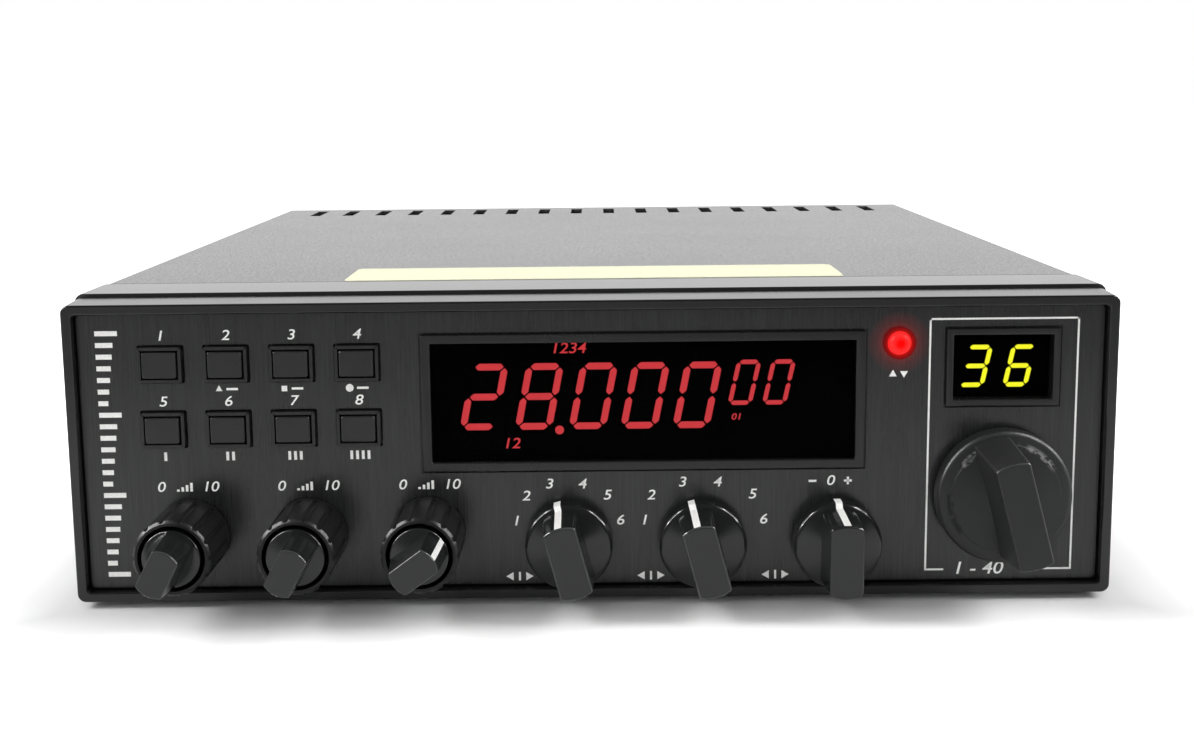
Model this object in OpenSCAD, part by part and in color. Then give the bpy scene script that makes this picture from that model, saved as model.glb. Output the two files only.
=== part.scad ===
// Mobile amateur radio transceiver with a dual display, eight keys and seven panel controls.
// X runs to the viewer's right, Y runs from the front panel to the rear, Z runs up.
// The origin lies on the underside of the bottom cover, in the middle of the case.

/* [Case] */
// Width over the steel covers
case_w = 198.6; // [178:0.2:220]
// Height over the steel covers
case_h = 59.5; // [54:0.1:72]
// Length from the front rim to the rear edge of the covers
case_len = 238.5; // [220:0.5:300]
// Thickness of the cover sheet
sheet_t = 1.2; // [0.8:0.1:1.6]
// Outer bend radius of the covers
cover_r = 1.4; // [1.2:0.1:4]
// Height of the bottom cover's side flanges
seam_h = 16; // [14:0.5:18]

/* [Front moulding] */
// How far the bezel is wider than the covers on each side
bezel_proud = 0.7; // [0:0.1:2]
// Height of the step from the covers down to the bezel
bezel_step = 0.55; // [0.5:0.05:1.5]
// Depth of the bezel from its rim to the groove behind it
bezel_depth = 11.2; // [9:0.1:13]
// Corner radius of the bezel
bezel_r = 1.6; // [1.4:0.1:5]
// Width of the rim around the panel
rim_w = 2.2; // [1.8:0.1:2.4]
// Depth of the panel behind the rim
panel_recess = 2.4; // [2:0.1:3]
// Thickness of the aluminium panel
panel_t = 1.5; // [1:0.1:2]
// Thickness of the bezel's web behind the panel
web_t = 2.5; // [2:0.1:3]
// How far the front frame is wider than the covers on each side
frame_proud = 1; // [0.5:0.1:2]
// Depth of the front frame
frame_depth = 16.7; // [15:0.1:19]
// Corner radius of the front frame
frame_r = 1.7; // [1:0.1:4]

/* [Keys] */
// First key column, in from the left edge of the bezel
key_in = 18.2; // [17:0.1:20]
// Upper key row, down from the top edge of the bezel
key_down = 12; // [11:0.1:13]
// Spacing of the key columns
key_pitch_x = 12.45; // [12:0.05:13]
// Spacing of the key rows
key_pitch_z = 12.6; // [12:0.1:14]
// Width of a key cap
key_w = 6.5; // [6:0.1:8]
// Height of a key cap
key_h = 5; // [4.6:0.1:6]
// How far a key cap stands out of the panel
key_proud = 1.9; // [1.5:0.1:2.4]
// Travel of a key
key_travel = 0.8; // [0.4:0.1:1]
// Width of the moulded rim around a key
key_rim = 0.6; // [0.35:0.05:0.9]

/* [Displays] */
// Left edge of the main window, in from the left edge of the bezel
display_left = 69.4; // [68:0.1:72]
// Right edge of the main window, in from the right edge of the bezel
display_right = 49.6; // [48:0.1:55]
// Middle of the main display, down from the top edge of the bezel
display_down = 20.1; // [18.5:0.1:21]
// Height of the main window
display_h = 23; // [20:0.5:25]
// Border of the main display's frame
display_border = 1.8; // [1.5:0.1:2.5]
// Middle of the channel display, in from the right edge of the bezel
channel_in = 21.6; // [20:0.1:23]
// Middle of the channel display, down from the top edge of the bezel
channel_down = 14.1; // [12.5:0.1:15]
// Width of the channel window
channel_w = 19; // [17:0.1:21]
// Height of the channel window
channel_h = 12.4; // [11:0.1:14]
// Border of the channel display's frame
channel_border = 1.3; // [1:0.1:1.8]
// How far the channel window lies behind the panel's face
channel_sunk = 2.2; // [0.5:0.1:2.4]
// Status lamp, in from the right edge of the bezel
lamp_in = 41.4; // [40:0.1:42.5]
// Status lamp, down from the top edge of the bezel
lamp_down = 9.3; // [8:0.1:11]
// Radius of the status lamp
lamp_r = 2.3; // [2:0.05:2.5]

/* [Knobs] */
// Height of the selector knobs above the lower edge of the bezel
row_up = 10.9; // [10.6:0.1:13]
// Height of the dual knobs above the lower edge of the bezel
dual_up = 13; // [12:0.1:14]
// First dual knob, in from the left edge of the bezel
dual_in = 22.7; // [20:0.1:24]
// Spacing of the dual knobs
dual_pitch = 22.75; // [22:0.05:24]
// Radius of a dual knob's ring
ring_r = 7.2; // [7:0.1:8]
// How far a ring's front stands from the panel
ring_out = 17.4; // [15:0.1:19]
// Radius of a dual knob's inner disc
inner_r = 5.4; // [5:0.1:5.5]
// Width of the inner bar at its front
inner_bar_w = 5; // [4.6:0.1:5.6]
// Length of the inner bar at its front
inner_bar_len = 8.7; // [8:0.1:10]
// How far the inner bar's front stands from the panel
inner_out = 28.1; // [25:0.1:30]
// First selector knob, left of the panel's middle
selector_left = 4.6; // [3:0.1:6]
// Spacing of the selector knobs
selector_pitch = 25.7; // [24:0.1:26]
// Radius of a selector knob's skirt
selector_r = 8.4; // [8:0.1:9]
// Width of a selector's bar at its front
selector_bar_w = 6.2; // [5:0.1:7]
// Length of a selector's bar at its front
selector_bar_len = 14; // [12:0.1:15]
// How far a selector's front stands from the panel
selector_out = 16.5; // [14:0.1:20]
// Travel of the clarifier knob when it is pushed
push_travel = 1; // [0.5:0.1:1.2]
// Channel knob, in from the right edge of the bezel
dial_in = 21.5; // [20:0.1:23]
// Channel knob, up from the lower edge of the bezel
dial_up = 19.8; // [18:0.1:21]
// Radius of the channel knob's skirt
dial_r = 12.9; // [12:0.1:14]
// Width of the channel knob's bar at its front
dial_bar_w = 6.4; // [5:0.1:8]
// Length of the channel knob's bar at its front
dial_bar_len = 20.4; // [18:0.1:22]
// How far the channel knob's front stands from the panel
dial_out = 20.3; // [16:0.1:24]

/* [Rest positions] */
// Clockwise turn of the first two dual knobs' bars from upright
dual_turn = 28; // [0:1:60]
// Clockwise turn of the third dual knob's bar from upright
third_turn = 54; // [0:1:90]
// Turn to the left of the band and mode bars from upright
selector_turn = 15; // [0:1:45]
// Turn to the left of the channel knob's bar from upright
dial_turn = 15; // [0:1:90]

/* [Controls] */
// Radius of a dual control's inner shaft
thin_shaft_r = 1.6; // [1.3:0.05:1.9]
// Radius of a ring's sleeve
sleeve_r = 3; // [2.5:0.05:3.2]
// Radius of a selector's shaft
shaft_r = 3; // [2.5:0.05:3.2]
// Running clearance of shafts and plungers
run_fit = 0.05; // [0.02:0.01:0.08]
// Radius of a threaded bush
bush_r = 4.2; // [4:0.05:4.4]
// Size of a control's body, across
control_size = 15; // [13:0.1:15]
// Depth of a dual control's body
dual_depth = 18; // [16:0.5:24]
// Depth of a selector switch's body
switch_depth = 16; // [15:0.5:20]

/* [Rear] */
// Thickness of the rear panel
rear_t = 2.5; // [2:0.1:3]
// Heat sink's ends, in from the top and underside of the case
sink_in = 5.15; // [4:0.05:10]
// Depth of the heat sink, base and fins
sink_depth = 12.3; // [9:0.1:20]
// Thickness of the heat sink's base
sink_base = 4; // [3.6:0.1:6]
// Number of fins
fin_count = 14; // [8:1:18]
// Thickness of a fin
fin_t = 2.2; // [1.2:0.1:3]
// Spacing of the fins
fin_pitch = 8; // [6:0.1:8.4]
// Antenna socket, in from the right side of the case
antenna_in = 27.3; // [26:0.1:30]
// Antenna socket, below the case's top
antenna_down = 20.3; // [18.3:0.1:22.3]
// Radius over the antenna socket's thread
antenna_r = 7.9; // [7:0.1:9]
// Length of the antenna socket's thread
antenna_len = 12; // [10:0.1:15]
// Radius of the antenna socket's contact bore
contact_r = 2; // [1.5:0.05:2.5]
// Radius of a jack's bore
jack_r = 1.8; // [1.6:0.05:2.6]
// Spacing of the jacks
jack_pitch = 12; // [11:0.1:13]
// Power socket, in from the left side of the case
power_in = 18; // [17:0.1:22]
// Power socket, below the case's top
power_down = 20.3; // [19:0.1:22]

/* [Side fittings] */
// Mounting screws' holes, above the case's underside
mount_up = 42; // [40:0.5:44]
// Radius of the mounting screws' threaded holes
mount_r = 2.1; // [1.6:0.05:2.6]
// Microphone socket, behind the front rim
mic_back = 40.5; // [40:0.5:41]
// Microphone socket, above the case's underside
mic_up = 32; // [30:0.5:34]
// Radius over the microphone socket's thread
mic_r = 8; // [7:0.1:8.5]

/* [Inside] */
// Thickness of the chassis side walls
wall_t = 3; // [2.6:0.1:4]
// Thickness of the chassis tray
tray_t = 2; // [1.5:0.1:3]
// Underside of the chassis tray, below the case's middle
tray_drop = 2.15; // [1.2:0.05:3]
// Thickness of the circuit boards
board_t = 1.6; // [1:0.1:2]
// Height of the main board above the tray
board_lift = 5; // [4:0.5:7]
// Radius of the speaker
speaker_r = 38.5; // [30:0.5:42]
// Gap between the speaker and the tray above it
speaker_gap = 2.8; // [1.5:0.1:6]
// Number of vent slots in the top cover
vent_count = 18; // [10:1:18]
// Middle of the outermost vent slots, in from the sides of the case
vent_in = 12.6; // [10:0.1:20]
// Width of a vent slot
vent_w = 3.3; // [2:0.1:4]
// Length of a vent slot
vent_len = 19; // [12:0.5:24]

/* [Hidden] */
$fn = 48;
key_names = [for (k = [1:8]) str("key_", k)];
dual_names = ["volume", "tone", "gain"];

// Clearances
over = 1;
loose_fit = 0.1;
seam_gap = 0.3;
key_gap = 0.3;
panel_fit = 0.3;
free_gap = 0.3;
hole_fit = 0.1;

// Planes of the case
mid_z = case_h / 2;
front_y = -case_len / 2;
rear_y = case_len / 2;
panel_y = front_y + panel_recess;
cover_half = case_w / 2;
cover_in = cover_half - sheet_t;

// Levels in front of the panel's face, and behind it where negative
rim_p = panel_recess;
panel_back = -panel_t;
web_back = panel_back - web_t;
bezel_back = panel_recess - bezel_depth;
frame_front = bezel_back - seam_gap;
frame_back = frame_front - frame_depth;
board_gap = 9.5;
board_p = web_back - board_gap;
board_back = board_p - board_t;

// Outlines of the front moulding
bezel_w = case_w + 2 * bezel_proud;
bezel_h = case_h - 2 * bezel_step;
frame_w = case_w + 2 * frame_proud;
inner_w = bezel_w - 2 * rim_w;
inner_h = bezel_h - 2 * rim_w;
inner_corner = 0.8;
lip_t = 0.8;
lip_fit = 0.15;
opening_w = inner_w - 2 * (lip_fit + lip_t);
opening_h = inner_h - 2 * (lip_fit + lip_t);

// Places on the panel, from its middle
left_x = -bezel_w / 2;
right_x = bezel_w / 2;
top_z = bezel_h / 2;
low_z = -bezel_h / 2;
row_z = low_z + row_up;
dual_z = low_z + dual_up;
display_w = bezel_w - display_left - display_right;
display_x = left_x + display_left + display_w / 2;
display_z = top_z - display_down;
channel_x = right_x - channel_in;
channel_z = top_z - channel_down;
lamp_x = right_x - lamp_in;
lamp_z = top_z - lamp_down;
dual_x = [for (i = [0:2]) left_x + dual_in + i * dual_pitch];
selector_x = [for (i = [0:2]) -selector_left + i * selector_pitch];
dial_x = right_x - dial_in;
dial_z = low_z + dial_up;
dual_angle = [dual_turn, dual_turn, third_turn];

// Key details
key_corner = 0.4;
key_rim_proud = 1.4;
key_rim_fit = 0.3;
key_flange = 0.9;
key_flange_t = 1;
key_stem_r = 1.7;
key_switch_w = 6;
key_switch_h = 5;
key_stem_in = 1;
key_bore_end = 1.2;
key_bore_depth = key_stem_in + key_travel + key_bore_end;

// Display details
frame_lip = 0.8;
frame_wall = 1;
window_t = 1.5;
window_fit = 0.1;
module_fit = 0.2;
lamp_wall = 0.5;
lamp_flange = 0.3;
lamp_out = 1.8;
lamp_body = 6;
lead_r = 0.25;
lead_half = 1.25;

// Knob details
knob_gap = 1;
nut_t = 2;
nut_clear = 0.5;
bush_end = 0.4;
bush_out = nut_t + bush_end;
nut_flats = 5;
nut_corner = nut_flats / cos(30);
ring_web = 2;
ring_bevel = 0.5;
ring_mouth = 0.8;
flute_count = 14;
flute_r = 0.55;
flute_depth = 0.4;
skirt_h = 3;
skirt_bevel = 0.9;
selector_cone = 1;
dial_cone = 1.6;
inner_cone = 0.6;
bar_draft = 0.4;
press_fit = 0.03;
flat_share = 0.7;
stop_wall = 2.5;
push_gap = knob_gap + push_travel;
ring_back_room = bush_out + nut_clear;
ring_face = ring_back_room + ring_web;
inner_step = 0.4;
inner_back = ring_face + free_gap;
inner_face = ring_out + inner_step;

// Ends of the shafts and of the clarifier's plunger
plunger_len = 2.5;
plunger_step = 0.6;
plunger_room = push_travel + plunger_len;
plunger_r = shaft_r - plunger_step;
switch_shaft_end = web_back - switch_depth + stop_wall + free_gap;
clarifier_shaft_end = switch_shaft_end + plunger_room + push_travel;
selector_cap = 4.5;
dial_cap = 6;
inner_cap = 4;
selector_shaft_front = selector_out - selector_cap;
dial_shaft_front = dial_out - dial_cap;
thin_shaft_end = web_back - dual_depth + stop_wall + free_gap;
thin_shaft_front = inner_out - inner_cap;

// Inner arrangement of the chassis
wall_out = cover_in - loose_fit;
wall_in = wall_out - wall_t;
wall_gap = 1.4;
wall_low = sheet_t + wall_gap;
wall_top = case_h - wall_low;
tight_bend = 0.2;
bend_in = max(cover_r - sheet_t, tight_bend);
frame_front_y = panel_y - frame_front;
frame_rear_y = panel_y - frame_back;
rear_recess = 0.5;
rear_out_y = rear_y - rear_recess;
rear_in_y = rear_out_y - rear_t;
tray_setback = 22.9;
tray_front_y = frame_rear_y + tray_setback;
tray_up = mid_z - tray_drop;
tray_top = tray_up + tray_t;
tongue_start = 1.8;
tongue_lap = 9;
tongue_front_y = frame_front_y + tongue_start;
tongue_rear_y = frame_rear_y + tongue_lap;
tongue_len = tongue_rear_y - tongue_front_y;
tongue_half = 15;
tongue_out = opening_w / 2 - loose_fit;
tongue_screw_gap = 3;
tongue_screw_half = 9;
tongue_screw_y = panel_y - board_back + tongue_screw_gap;
tongue_screw_z = [mid_z - tongue_screw_half, mid_z + tongue_screw_half];
frame_skin = 1.2;

// Main board
board_edge = 6;
board_rear_gap = 14;
board_half = wall_in - board_edge;
board_front_y = tray_front_y + board_edge;
board_rear_y = rear_in_y - board_rear_gap;
board_z = tray_top + board_lift;
board_top = board_z + board_t;
board_post_r = 3.5;
board_margin = 6;
board_mid_y = (board_front_y + board_rear_y) / 2;
board_post_x = [-board_half + board_margin, board_half - board_margin];
board_post_y = [board_front_y + board_margin, board_mid_y, board_rear_y - board_margin];

// Front board and its posts, from the panel's middle
front_board_gap = 0.7;
front_board_edge = 1;
front_board_drop = 1.9;
front_board_half = wall_in - front_board_gap;
front_board_top = opening_h / 2 - front_board_edge;
front_board_low = max(row_z, dual_z) + control_size / 2 + front_board_drop;
front_post_r = 2.2;
front_post_x = front_board_half - front_post_r - front_board_edge / 2;
front_post_screw = 5;
mid_post_right = 1.5;
mid_post_down = 3;
dial_post_up = 15;
front_posts = [
    [-front_post_x, front_board_top - front_post_r - front_board_edge],
    [-front_post_x, front_board_low + front_post_r + front_board_edge],
    [lamp_x + mid_post_right, display_z - mid_post_down],
    [front_post_x, dial_z + dial_post_up],
];

// Screws
screw_r = 1.4;
screw_hole = 1.5;
screw_clear = 1.7;
screw_head_r = 2.7;
screw_head_t = 1.7;
small_screw_r = 1.1;
small_hole_r = 1.2;
small_head_r = 2;
small_head_t = 1.4;
cover_screw_rear = 35;
cover_screw_down = 12;
cover_screw_up = [seam_h / 2, case_h - cover_screw_down];
rear_boss_r = 4;
rear_boss_len = 12;
rear_boss_sink = 0.2;
rear_boss_gap = 1.5;
rear_screw_x = wall_in - rear_boss_r + rear_boss_sink;
rear_screw_z = [wall_low + rear_boss_r + rear_boss_gap, wall_top - rear_boss_r - rear_boss_gap];
rear_screw_len = 9;

// Rear fittings
sink_w = (fin_count - 1) * fin_pitch + fin_t;
sink_h = case_h - 2 * sink_in;
sink_x = -6;
sink_screw_in = 8;
sink_screw_up = 6;
sink_skin = 0.6;
sink_screw_x = [sink_x - sink_w / 2 + sink_screw_in, sink_x + sink_w / 2 - sink_screw_in];
sink_screw_z = [mid_z - sink_h / 2 + sink_screw_up, mid_z + sink_h / 2 - sink_screw_up];
antenna_x = cover_half - antenna_in;
antenna_up = case_h - antenna_down;
antenna_flange = 25;
antenna_flange_t = 1.8;
antenna_neck_r = 5.5;
antenna_neck_in = 1.5;
antenna_stub_r = 1.5;
antenna_stub_len = 9;
antenna_screw_half = 9.2;
jack_up = 15;
jack_size = 8;
jack_depth = 13;
jack_neck_r = 3;
jack_nut_r = 4.2;
jack_nut_t = 1.8;
jack_out = 2.4;
jack_end = 1.5;
jack_x = [for (i = [-1:1]) antenna_x + i * jack_pitch];
power_x = -cover_half + power_in;
power_up = case_h - power_down;
power_w = 20;
power_h = 12;
power_out = 9;
power_flange = 2.5;
power_flange_t = 1.5;
power_wall = 1.2;
power_cavity = 11;
power_inner = 8;
pin_r = 0.9;
pin_half = 5.5;
pin_len = 8;
transistor_w = 10.4;
transistor_h = 15;
transistor_t = 4.6;
transistor_pitch = 20;
transistor_x = [for (i = [0:3]) sink_x + (i - 1.5) * transistor_pitch];
transistor_gap = 2.5;
transistor_up = case_h - sheet_t - transistor_gap - transistor_h;
lead_w = 1;
lead_t = 0.6;
lead_pitch = 2.5;
lead_len = 8;

// Side fittings
mount_y = 0;
mount_neck_r = 4;
mount_flange_r = 6;
mount_flange_t = 1.6;
mount_cover_r = 3.2;
mic_y = front_y + mic_back;
mic_fit = 0.15;
mic_flange_r = 10;
mic_flange_t = 1.5;
mic_body_r = 6.8;
mic_body_len = 9;
mic_nut_r = 11;
mic_nut_t = 3;
mic_out = 8;
mic_cavity_r = 6.3;
mic_cavity = 6;
mic_pin_r = 0.7;
mic_pin_circle = 4.4;
mic_pin_len = 5;
mic_screw_gap = 4.5;
cover_screw_y = [mic_y + mic_nut_r + mic_screw_gap, rear_y - cover_screw_rear];

// Speaker
speaker_y = -48;
speaker_depth = tray_up - sheet_t - speaker_gap;
speaker_flange_t = 1.4;
speaker_magnet_r = 22;
speaker_magnet_h = 8;
speaker_shell = 1;
speaker_roll = 3;
cone_in_r = 11;
cone_t = 0.6;
grille_count = 9;
grille_pitch = 6.4;
grille_w = 3;
grille_in = 6;

// Vents
vent_rear_gap = 6.7;
vent_pitch = (case_w - 2 * vent_in) / (vent_count - 1);

// Shared shapes
module round_rect(w, h, r) {
    square([w - 2 * r, h], center = true);
    square([w, h - 2 * r], center = true);
    for (sx = [-1, 1], sy = [-1, 1])
        translate([sx * (w / 2 - r), sy * (h / 2 - r)]) circle(r);
}

// A place on the panel: X right, Y up, Z towards the viewer, from the panel's face
module on_panel(x = 0, z = 0) {
    translate([x, panel_y, mid_z + z]) rotate([90, 0, 0]) children();
}

// A flat outline made solid between two levels
module layer(low, high) {
    translate([0, 0, low]) linear_extrude(height = high - low) children();
}

// A round bar between two levels
module rod(low, high, r) {
    translate([0, 0, low]) cylinder(h = high - low, r = r);
}

// An outline in X and Z made solid along Y
module along_y(start, end) {
    translate([0, end, 0]) rotate([90, 0, 0]) linear_extrude(height = end - start) children();
}

// A round bar along Y, starting at a place and running to the rear
module rod_y(x, start, end, z, r) {
    translate([x, end, z]) rotate([90, 0, 0]) cylinder(h = end - start, r = r);
}

// A round bar along X on one side of the case, between two distances from the middle
module rod_x(side, inner, outer, y, z, r) {
    translate([side * inner, y, z]) rotate([0, side * 90, 0]) cylinder(h = outer - inner, r = r);
}

// A shaft's round section with one flat
module flatted(r, flat) {
    difference() {
        circle(r);
        translate([-r, flat]) square([2 * r, r]);
    }
}

module at_key(k) {
    column = k % 4;
    row = floor(k / 4);
    key_x = left_x + key_in + column * key_pitch_x;
    key_z = top_z - key_down - row * key_pitch_z;
    translate([key_x, key_z, 0]) children();
}

module each_key() {
    for (k = [0:7]) at_key(k) children();
}

module key_outline(grow = 0) {
    round_rect(key_w + 2 * grow, key_h + 2 * grow, key_corner);
}

module bezel_outline() {
    round_rect(bezel_w, bezel_h, bezel_r);
}

module inner_outline(gap = 0) {
    round_rect(inner_w - 2 * gap, inner_h - 2 * gap, inner_corner);
}

module display_outline(grow = 0) {
    translate([display_x, display_z]) square([display_w + 2 * grow, display_h + 2 * grow], center = true);
}

module channel_outline(grow = 0) {
    translate([channel_x, channel_z]) square([channel_w + 2 * grow, channel_h + 2 * grow], center = true);
}

// Every place where a control's bush passes the panel
module each_control() {
    for (x = dual_x) translate([x, dual_z, 0]) children();
    for (x = selector_x) translate([x, row_z, 0]) children();
    translate([dial_x, dial_z, 0]) children();
}

// Holes that the panel and the web behind it share
module panel_holes(low, high) {
    layer(low, high) display_outline(frame_wall + hole_fit);
    layer(low, high) channel_outline(frame_wall + hole_fit);
    translate([lamp_x, lamp_z, 0]) rod(low, high, lamp_r + lamp_wall + hole_fit);
    each_control() rod(low, high, bush_r + hole_fit);
}

// Front moulding
module front_bezel() {
    color("#232323") on_panel() difference() {
        union() {
            difference() {
                layer(bezel_back, rim_p) bezel_outline();
                layer(panel_back, rim_p + over) inner_outline();
                layer(bezel_back - over, web_back) inner_outline();
            }
            each_key() layer(panel_back - web_t / 2, key_rim_proud) key_outline(key_gap + key_rim);
            for (post = front_posts) translate(post) rod(board_p, panel_back - web_t / 2, front_post_r);
        }
        each_key() layer(web_back - over, key_rim_proud + over) key_outline(key_gap);
        panel_holes(web_back - over, panel_back + over);
        for (post = front_posts) translate(post) rod(board_p - over, web_back, small_hole_r);
    }
}

module front_panel() {
    rim_grow = key_gap + key_rim + key_rim_fit;
    color("#3b3b3c") on_panel() difference() {
        layer(panel_back, 0) inner_outline(panel_fit);
        each_key() layer(panel_back - over, over) key_outline(rim_grow);
        panel_holes(panel_back - over, over);
    }
}

module front_frame() {
    lip_w = opening_w + 2 * lip_t;
    lip_h = opening_h + 2 * lip_t;
    color("#2b2b2b") difference() {
        on_panel() difference() {
            union() {
                layer(frame_back, frame_front) round_rect(frame_w, case_h, frame_r);
                layer(frame_front - over, web_back - loose_fit) round_rect(lip_w, lip_h, inner_corner);
            }
            layer(frame_back - over, rim_p) round_rect(opening_w, opening_h, inner_corner);
        }
        for (side = [-1, 1], z = tongue_screw_z)
            rod_x(side, tongue_out, frame_w / 2 - frame_skin, tongue_screw_y, z, small_hole_r);
    }
}

// Covers
module cover_section(low, high) {
    intersection() {
        translate([0, mid_z]) difference() {
            round_rect(case_w, case_h, cover_r);
            round_rect(case_w - 2 * sheet_t, case_h - 2 * sheet_t, bend_in);
        }
        translate([-case_w, low]) square([2 * case_w, high - low]);
    }
}

module cover_screw_holes(up) {
    for (side = [-1, 1], y = cover_screw_y)
        rod_x(side, cover_in - over, cover_half + over, y, up, screw_clear);
}

module top_cover() {
    vent_y = rear_y - vent_rear_gap - vent_len;
    color("#2e2e2e") difference() {
        along_y(frame_rear_y + seam_gap, rear_y) cover_section(seam_h + seam_gap, case_h);
        for (i = [0:vent_count - 1])
            translate([(i - (vent_count - 1) / 2) * vent_pitch - vent_w / 2, vent_y, case_h - sheet_t])
                translate([0, 0, -over]) cube([vent_w, vent_len, sheet_t + 2 * over]);
        cover_screw_holes(cover_screw_up[1]);
        for (side = [-1, 1])
            rod_x(side, cover_in - over, cover_half + over, mount_y, mount_up, mount_cover_r);
        rod_x(-1, cover_in - over, cover_half + over, mic_y, mic_up, mic_r + mic_fit);
    }
}

module bottom_cover() {
    color("#2e2e2e") difference() {
        along_y(frame_rear_y + seam_gap, rear_y) cover_section(0, seam_h);
        for (i = [0:grille_count - 1]) {
            x = (i - (grille_count - 1) / 2) * grille_pitch;
            half = sqrt(pow(speaker_r - grille_in, 2) - pow(x, 2));
            translate([x - grille_w / 2, speaker_y - half, -over])
                cube([grille_w, 2 * half, sheet_t + 2 * over]);
        }
        cover_screw_holes(cover_screw_up[0]);
    }
}

// Chassis casting: two walls, a tray between them, tongues into the front frame
module chassis() {
    color("#9a9c9e") difference() {
        union() {
            for (side = [-1, 1]) {
                translate([side * (wall_in + wall_out) / 2, (frame_rear_y + rear_in_y) / 2, mid_z])
                    cube([wall_t, rear_in_y - frame_rear_y, wall_top - wall_low], center = true);
                translate([side * (wall_in + tongue_out) / 2, (tongue_front_y + tongue_rear_y) / 2, mid_z])
                    cube([tongue_out - wall_in, tongue_len, 2 * tongue_half], center = true);
                for (z = rear_screw_z)
                    rod_y(side * rear_screw_x, rear_in_y - rear_boss_len, rear_in_y, z, rear_boss_r);
            }
            translate([-wall_in - over, tray_front_y, tray_up])
                cube([2 * (wall_in + over), rear_in_y - tray_front_y, tray_t]);
            for (x = board_post_x, y = board_post_y)
                translate([x, y, 0]) rod(tray_up, board_z, board_post_r);
        }
        for (x = board_post_x, y = board_post_y)
            translate([x, y, 0]) rod(tray_up - over, board_z + over, screw_hole);
        for (side = [-1, 1]) {
            for (z = rear_screw_z)
                rod_y(side * rear_screw_x, rear_in_y - rear_screw_len, rear_in_y + over, z, screw_hole);
            for (y = cover_screw_y, z = cover_screw_up)
                rod_x(side, wall_in - over, wall_out + over, y, z, screw_hole);
            for (z = tongue_screw_z)
                rod_x(side, wall_in - over, wall_out + over, tongue_screw_y, z, small_hole_r);
            rod_x(side, wall_in - over, wall_out + over, mount_y, mount_up, mount_neck_r + press_fit);
        }
        rod_x(-1, wall_in - over, wall_out + over, mic_y, mic_up, mic_r + mic_fit);
    }
}

// Rear
module rear_panel() {
    color("#8f9193") difference() {
        along_y(rear_in_y, rear_out_y) translate([0, mid_z])
            round_rect(2 * wall_out, case_h - 2 * (sheet_t + loose_fit), bend_in);
        for (side = [-1, 1], z = rear_screw_z)
            rod_y(side * rear_screw_x, rear_in_y - over, rear_out_y + over, z, screw_clear);
        for (x = sink_screw_x, z = sink_screw_z)
            rod_y(x, rear_in_y - over, rear_out_y + over, z, screw_clear);
        rod_y(antenna_x, rear_in_y - over, rear_out_y + over, antenna_up, antenna_neck_r + hole_fit);
        for (sx = [-1, 1], sz = [-1, 1])
            rod_y(antenna_x + sx * antenna_screw_half, rear_in_y - over, rear_out_y + over,
                antenna_up + sz * antenna_screw_half, small_hole_r);
        for (x = jack_x)
            rod_y(x, rear_in_y - over, rear_out_y + over, jack_up, jack_neck_r + hole_fit);
        translate([power_x, (rear_in_y + rear_out_y) / 2, power_up])
            cube([power_w + 2 * hole_fit, rear_t + 2 * over, power_h + 2 * hole_fit], center = true);
    }
}

module heat_sink() {
    color("#2a2a2b") difference() {
        union() {
            translate([sink_x, rear_out_y + sink_base / 2, mid_z])
                cube([sink_w, sink_base, sink_h], center = true);
            for (i = [0:fin_count - 1])
                translate([sink_x - sink_w / 2 + i * fin_pitch, rear_out_y, mid_z - sink_h / 2])
                    cube([fin_t, sink_depth, sink_h]);
        }
        for (x = sink_screw_x, z = sink_screw_z)
            rod_y(x, rear_out_y - over, rear_out_y + sink_base - sink_skin, z, screw_hole);
    }
}

module antenna_socket() {
    flange_rear = rear_out_y + antenna_flange_t;
    color("#c9cacb") difference() {
        union() {
            translate([antenna_x, rear_out_y + antenna_flange_t / 2, antenna_up])
                cube([antenna_flange, antenna_flange_t, antenna_flange], center = true);
            rod_y(antenna_x, rear_out_y, flange_rear + antenna_len, antenna_up, antenna_r);
            rod_y(antenna_x, rear_in_y - antenna_neck_in, rear_out_y + over, antenna_up, antenna_neck_r);
            rod_y(antenna_x, rear_in_y - antenna_stub_len, rear_out_y, antenna_up, antenna_stub_r);
        }
        rod_y(antenna_x, flange_rear, flange_rear + antenna_len + over, antenna_up, contact_r);
        for (sx = [-1, 1], sz = [-1, 1])
            rod_y(antenna_x + sx * antenna_screw_half, rear_out_y - over, flange_rear + over,
                antenna_up + sz * antenna_screw_half, small_hole_r);
    }
}

module power_socket() {
    outer_y = rear_out_y + power_out;
    color("#1d1d1d") {
        difference() {
            union() {
                translate([power_x, (rear_in_y - power_inner + outer_y) / 2, power_up])
                    cube([power_w, outer_y - rear_in_y + power_inner, power_h], center = true);
                translate([power_x, rear_out_y + power_flange_t / 2, power_up]) cube(
                    [power_w + 2 * power_flange, power_flange_t, power_h + 2 * power_flange],
                    center = true
                );
            }
            translate([power_x, outer_y - power_cavity / 2 + over / 2, power_up]) cube(
                [power_w - 2 * power_wall, power_cavity + over, power_h - 2 * power_wall],
                center = true
            );
        }
        for (side = [-1, 1])
            rod_y(power_x + side * pin_half, outer_y - power_cavity - over,
                outer_y - power_cavity + pin_len, power_up, pin_r);
    }
}

module jack_sockets() {
    color("#1d1d1d") for (x = jack_x) difference() {
        union() {
            translate([x, rear_in_y - jack_depth / 2, jack_up])
                cube([jack_size, jack_depth, jack_size], center = true);
            rod_y(x, rear_in_y - over, rear_out_y + jack_out, jack_up, jack_neck_r);
            rod_y(x, rear_out_y, rear_out_y + jack_nut_t, jack_up, jack_nut_r);
        }
        rod_y(x, rear_in_y - jack_depth + jack_end, rear_out_y + jack_out + over, jack_up, jack_r);
    }
}

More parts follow.
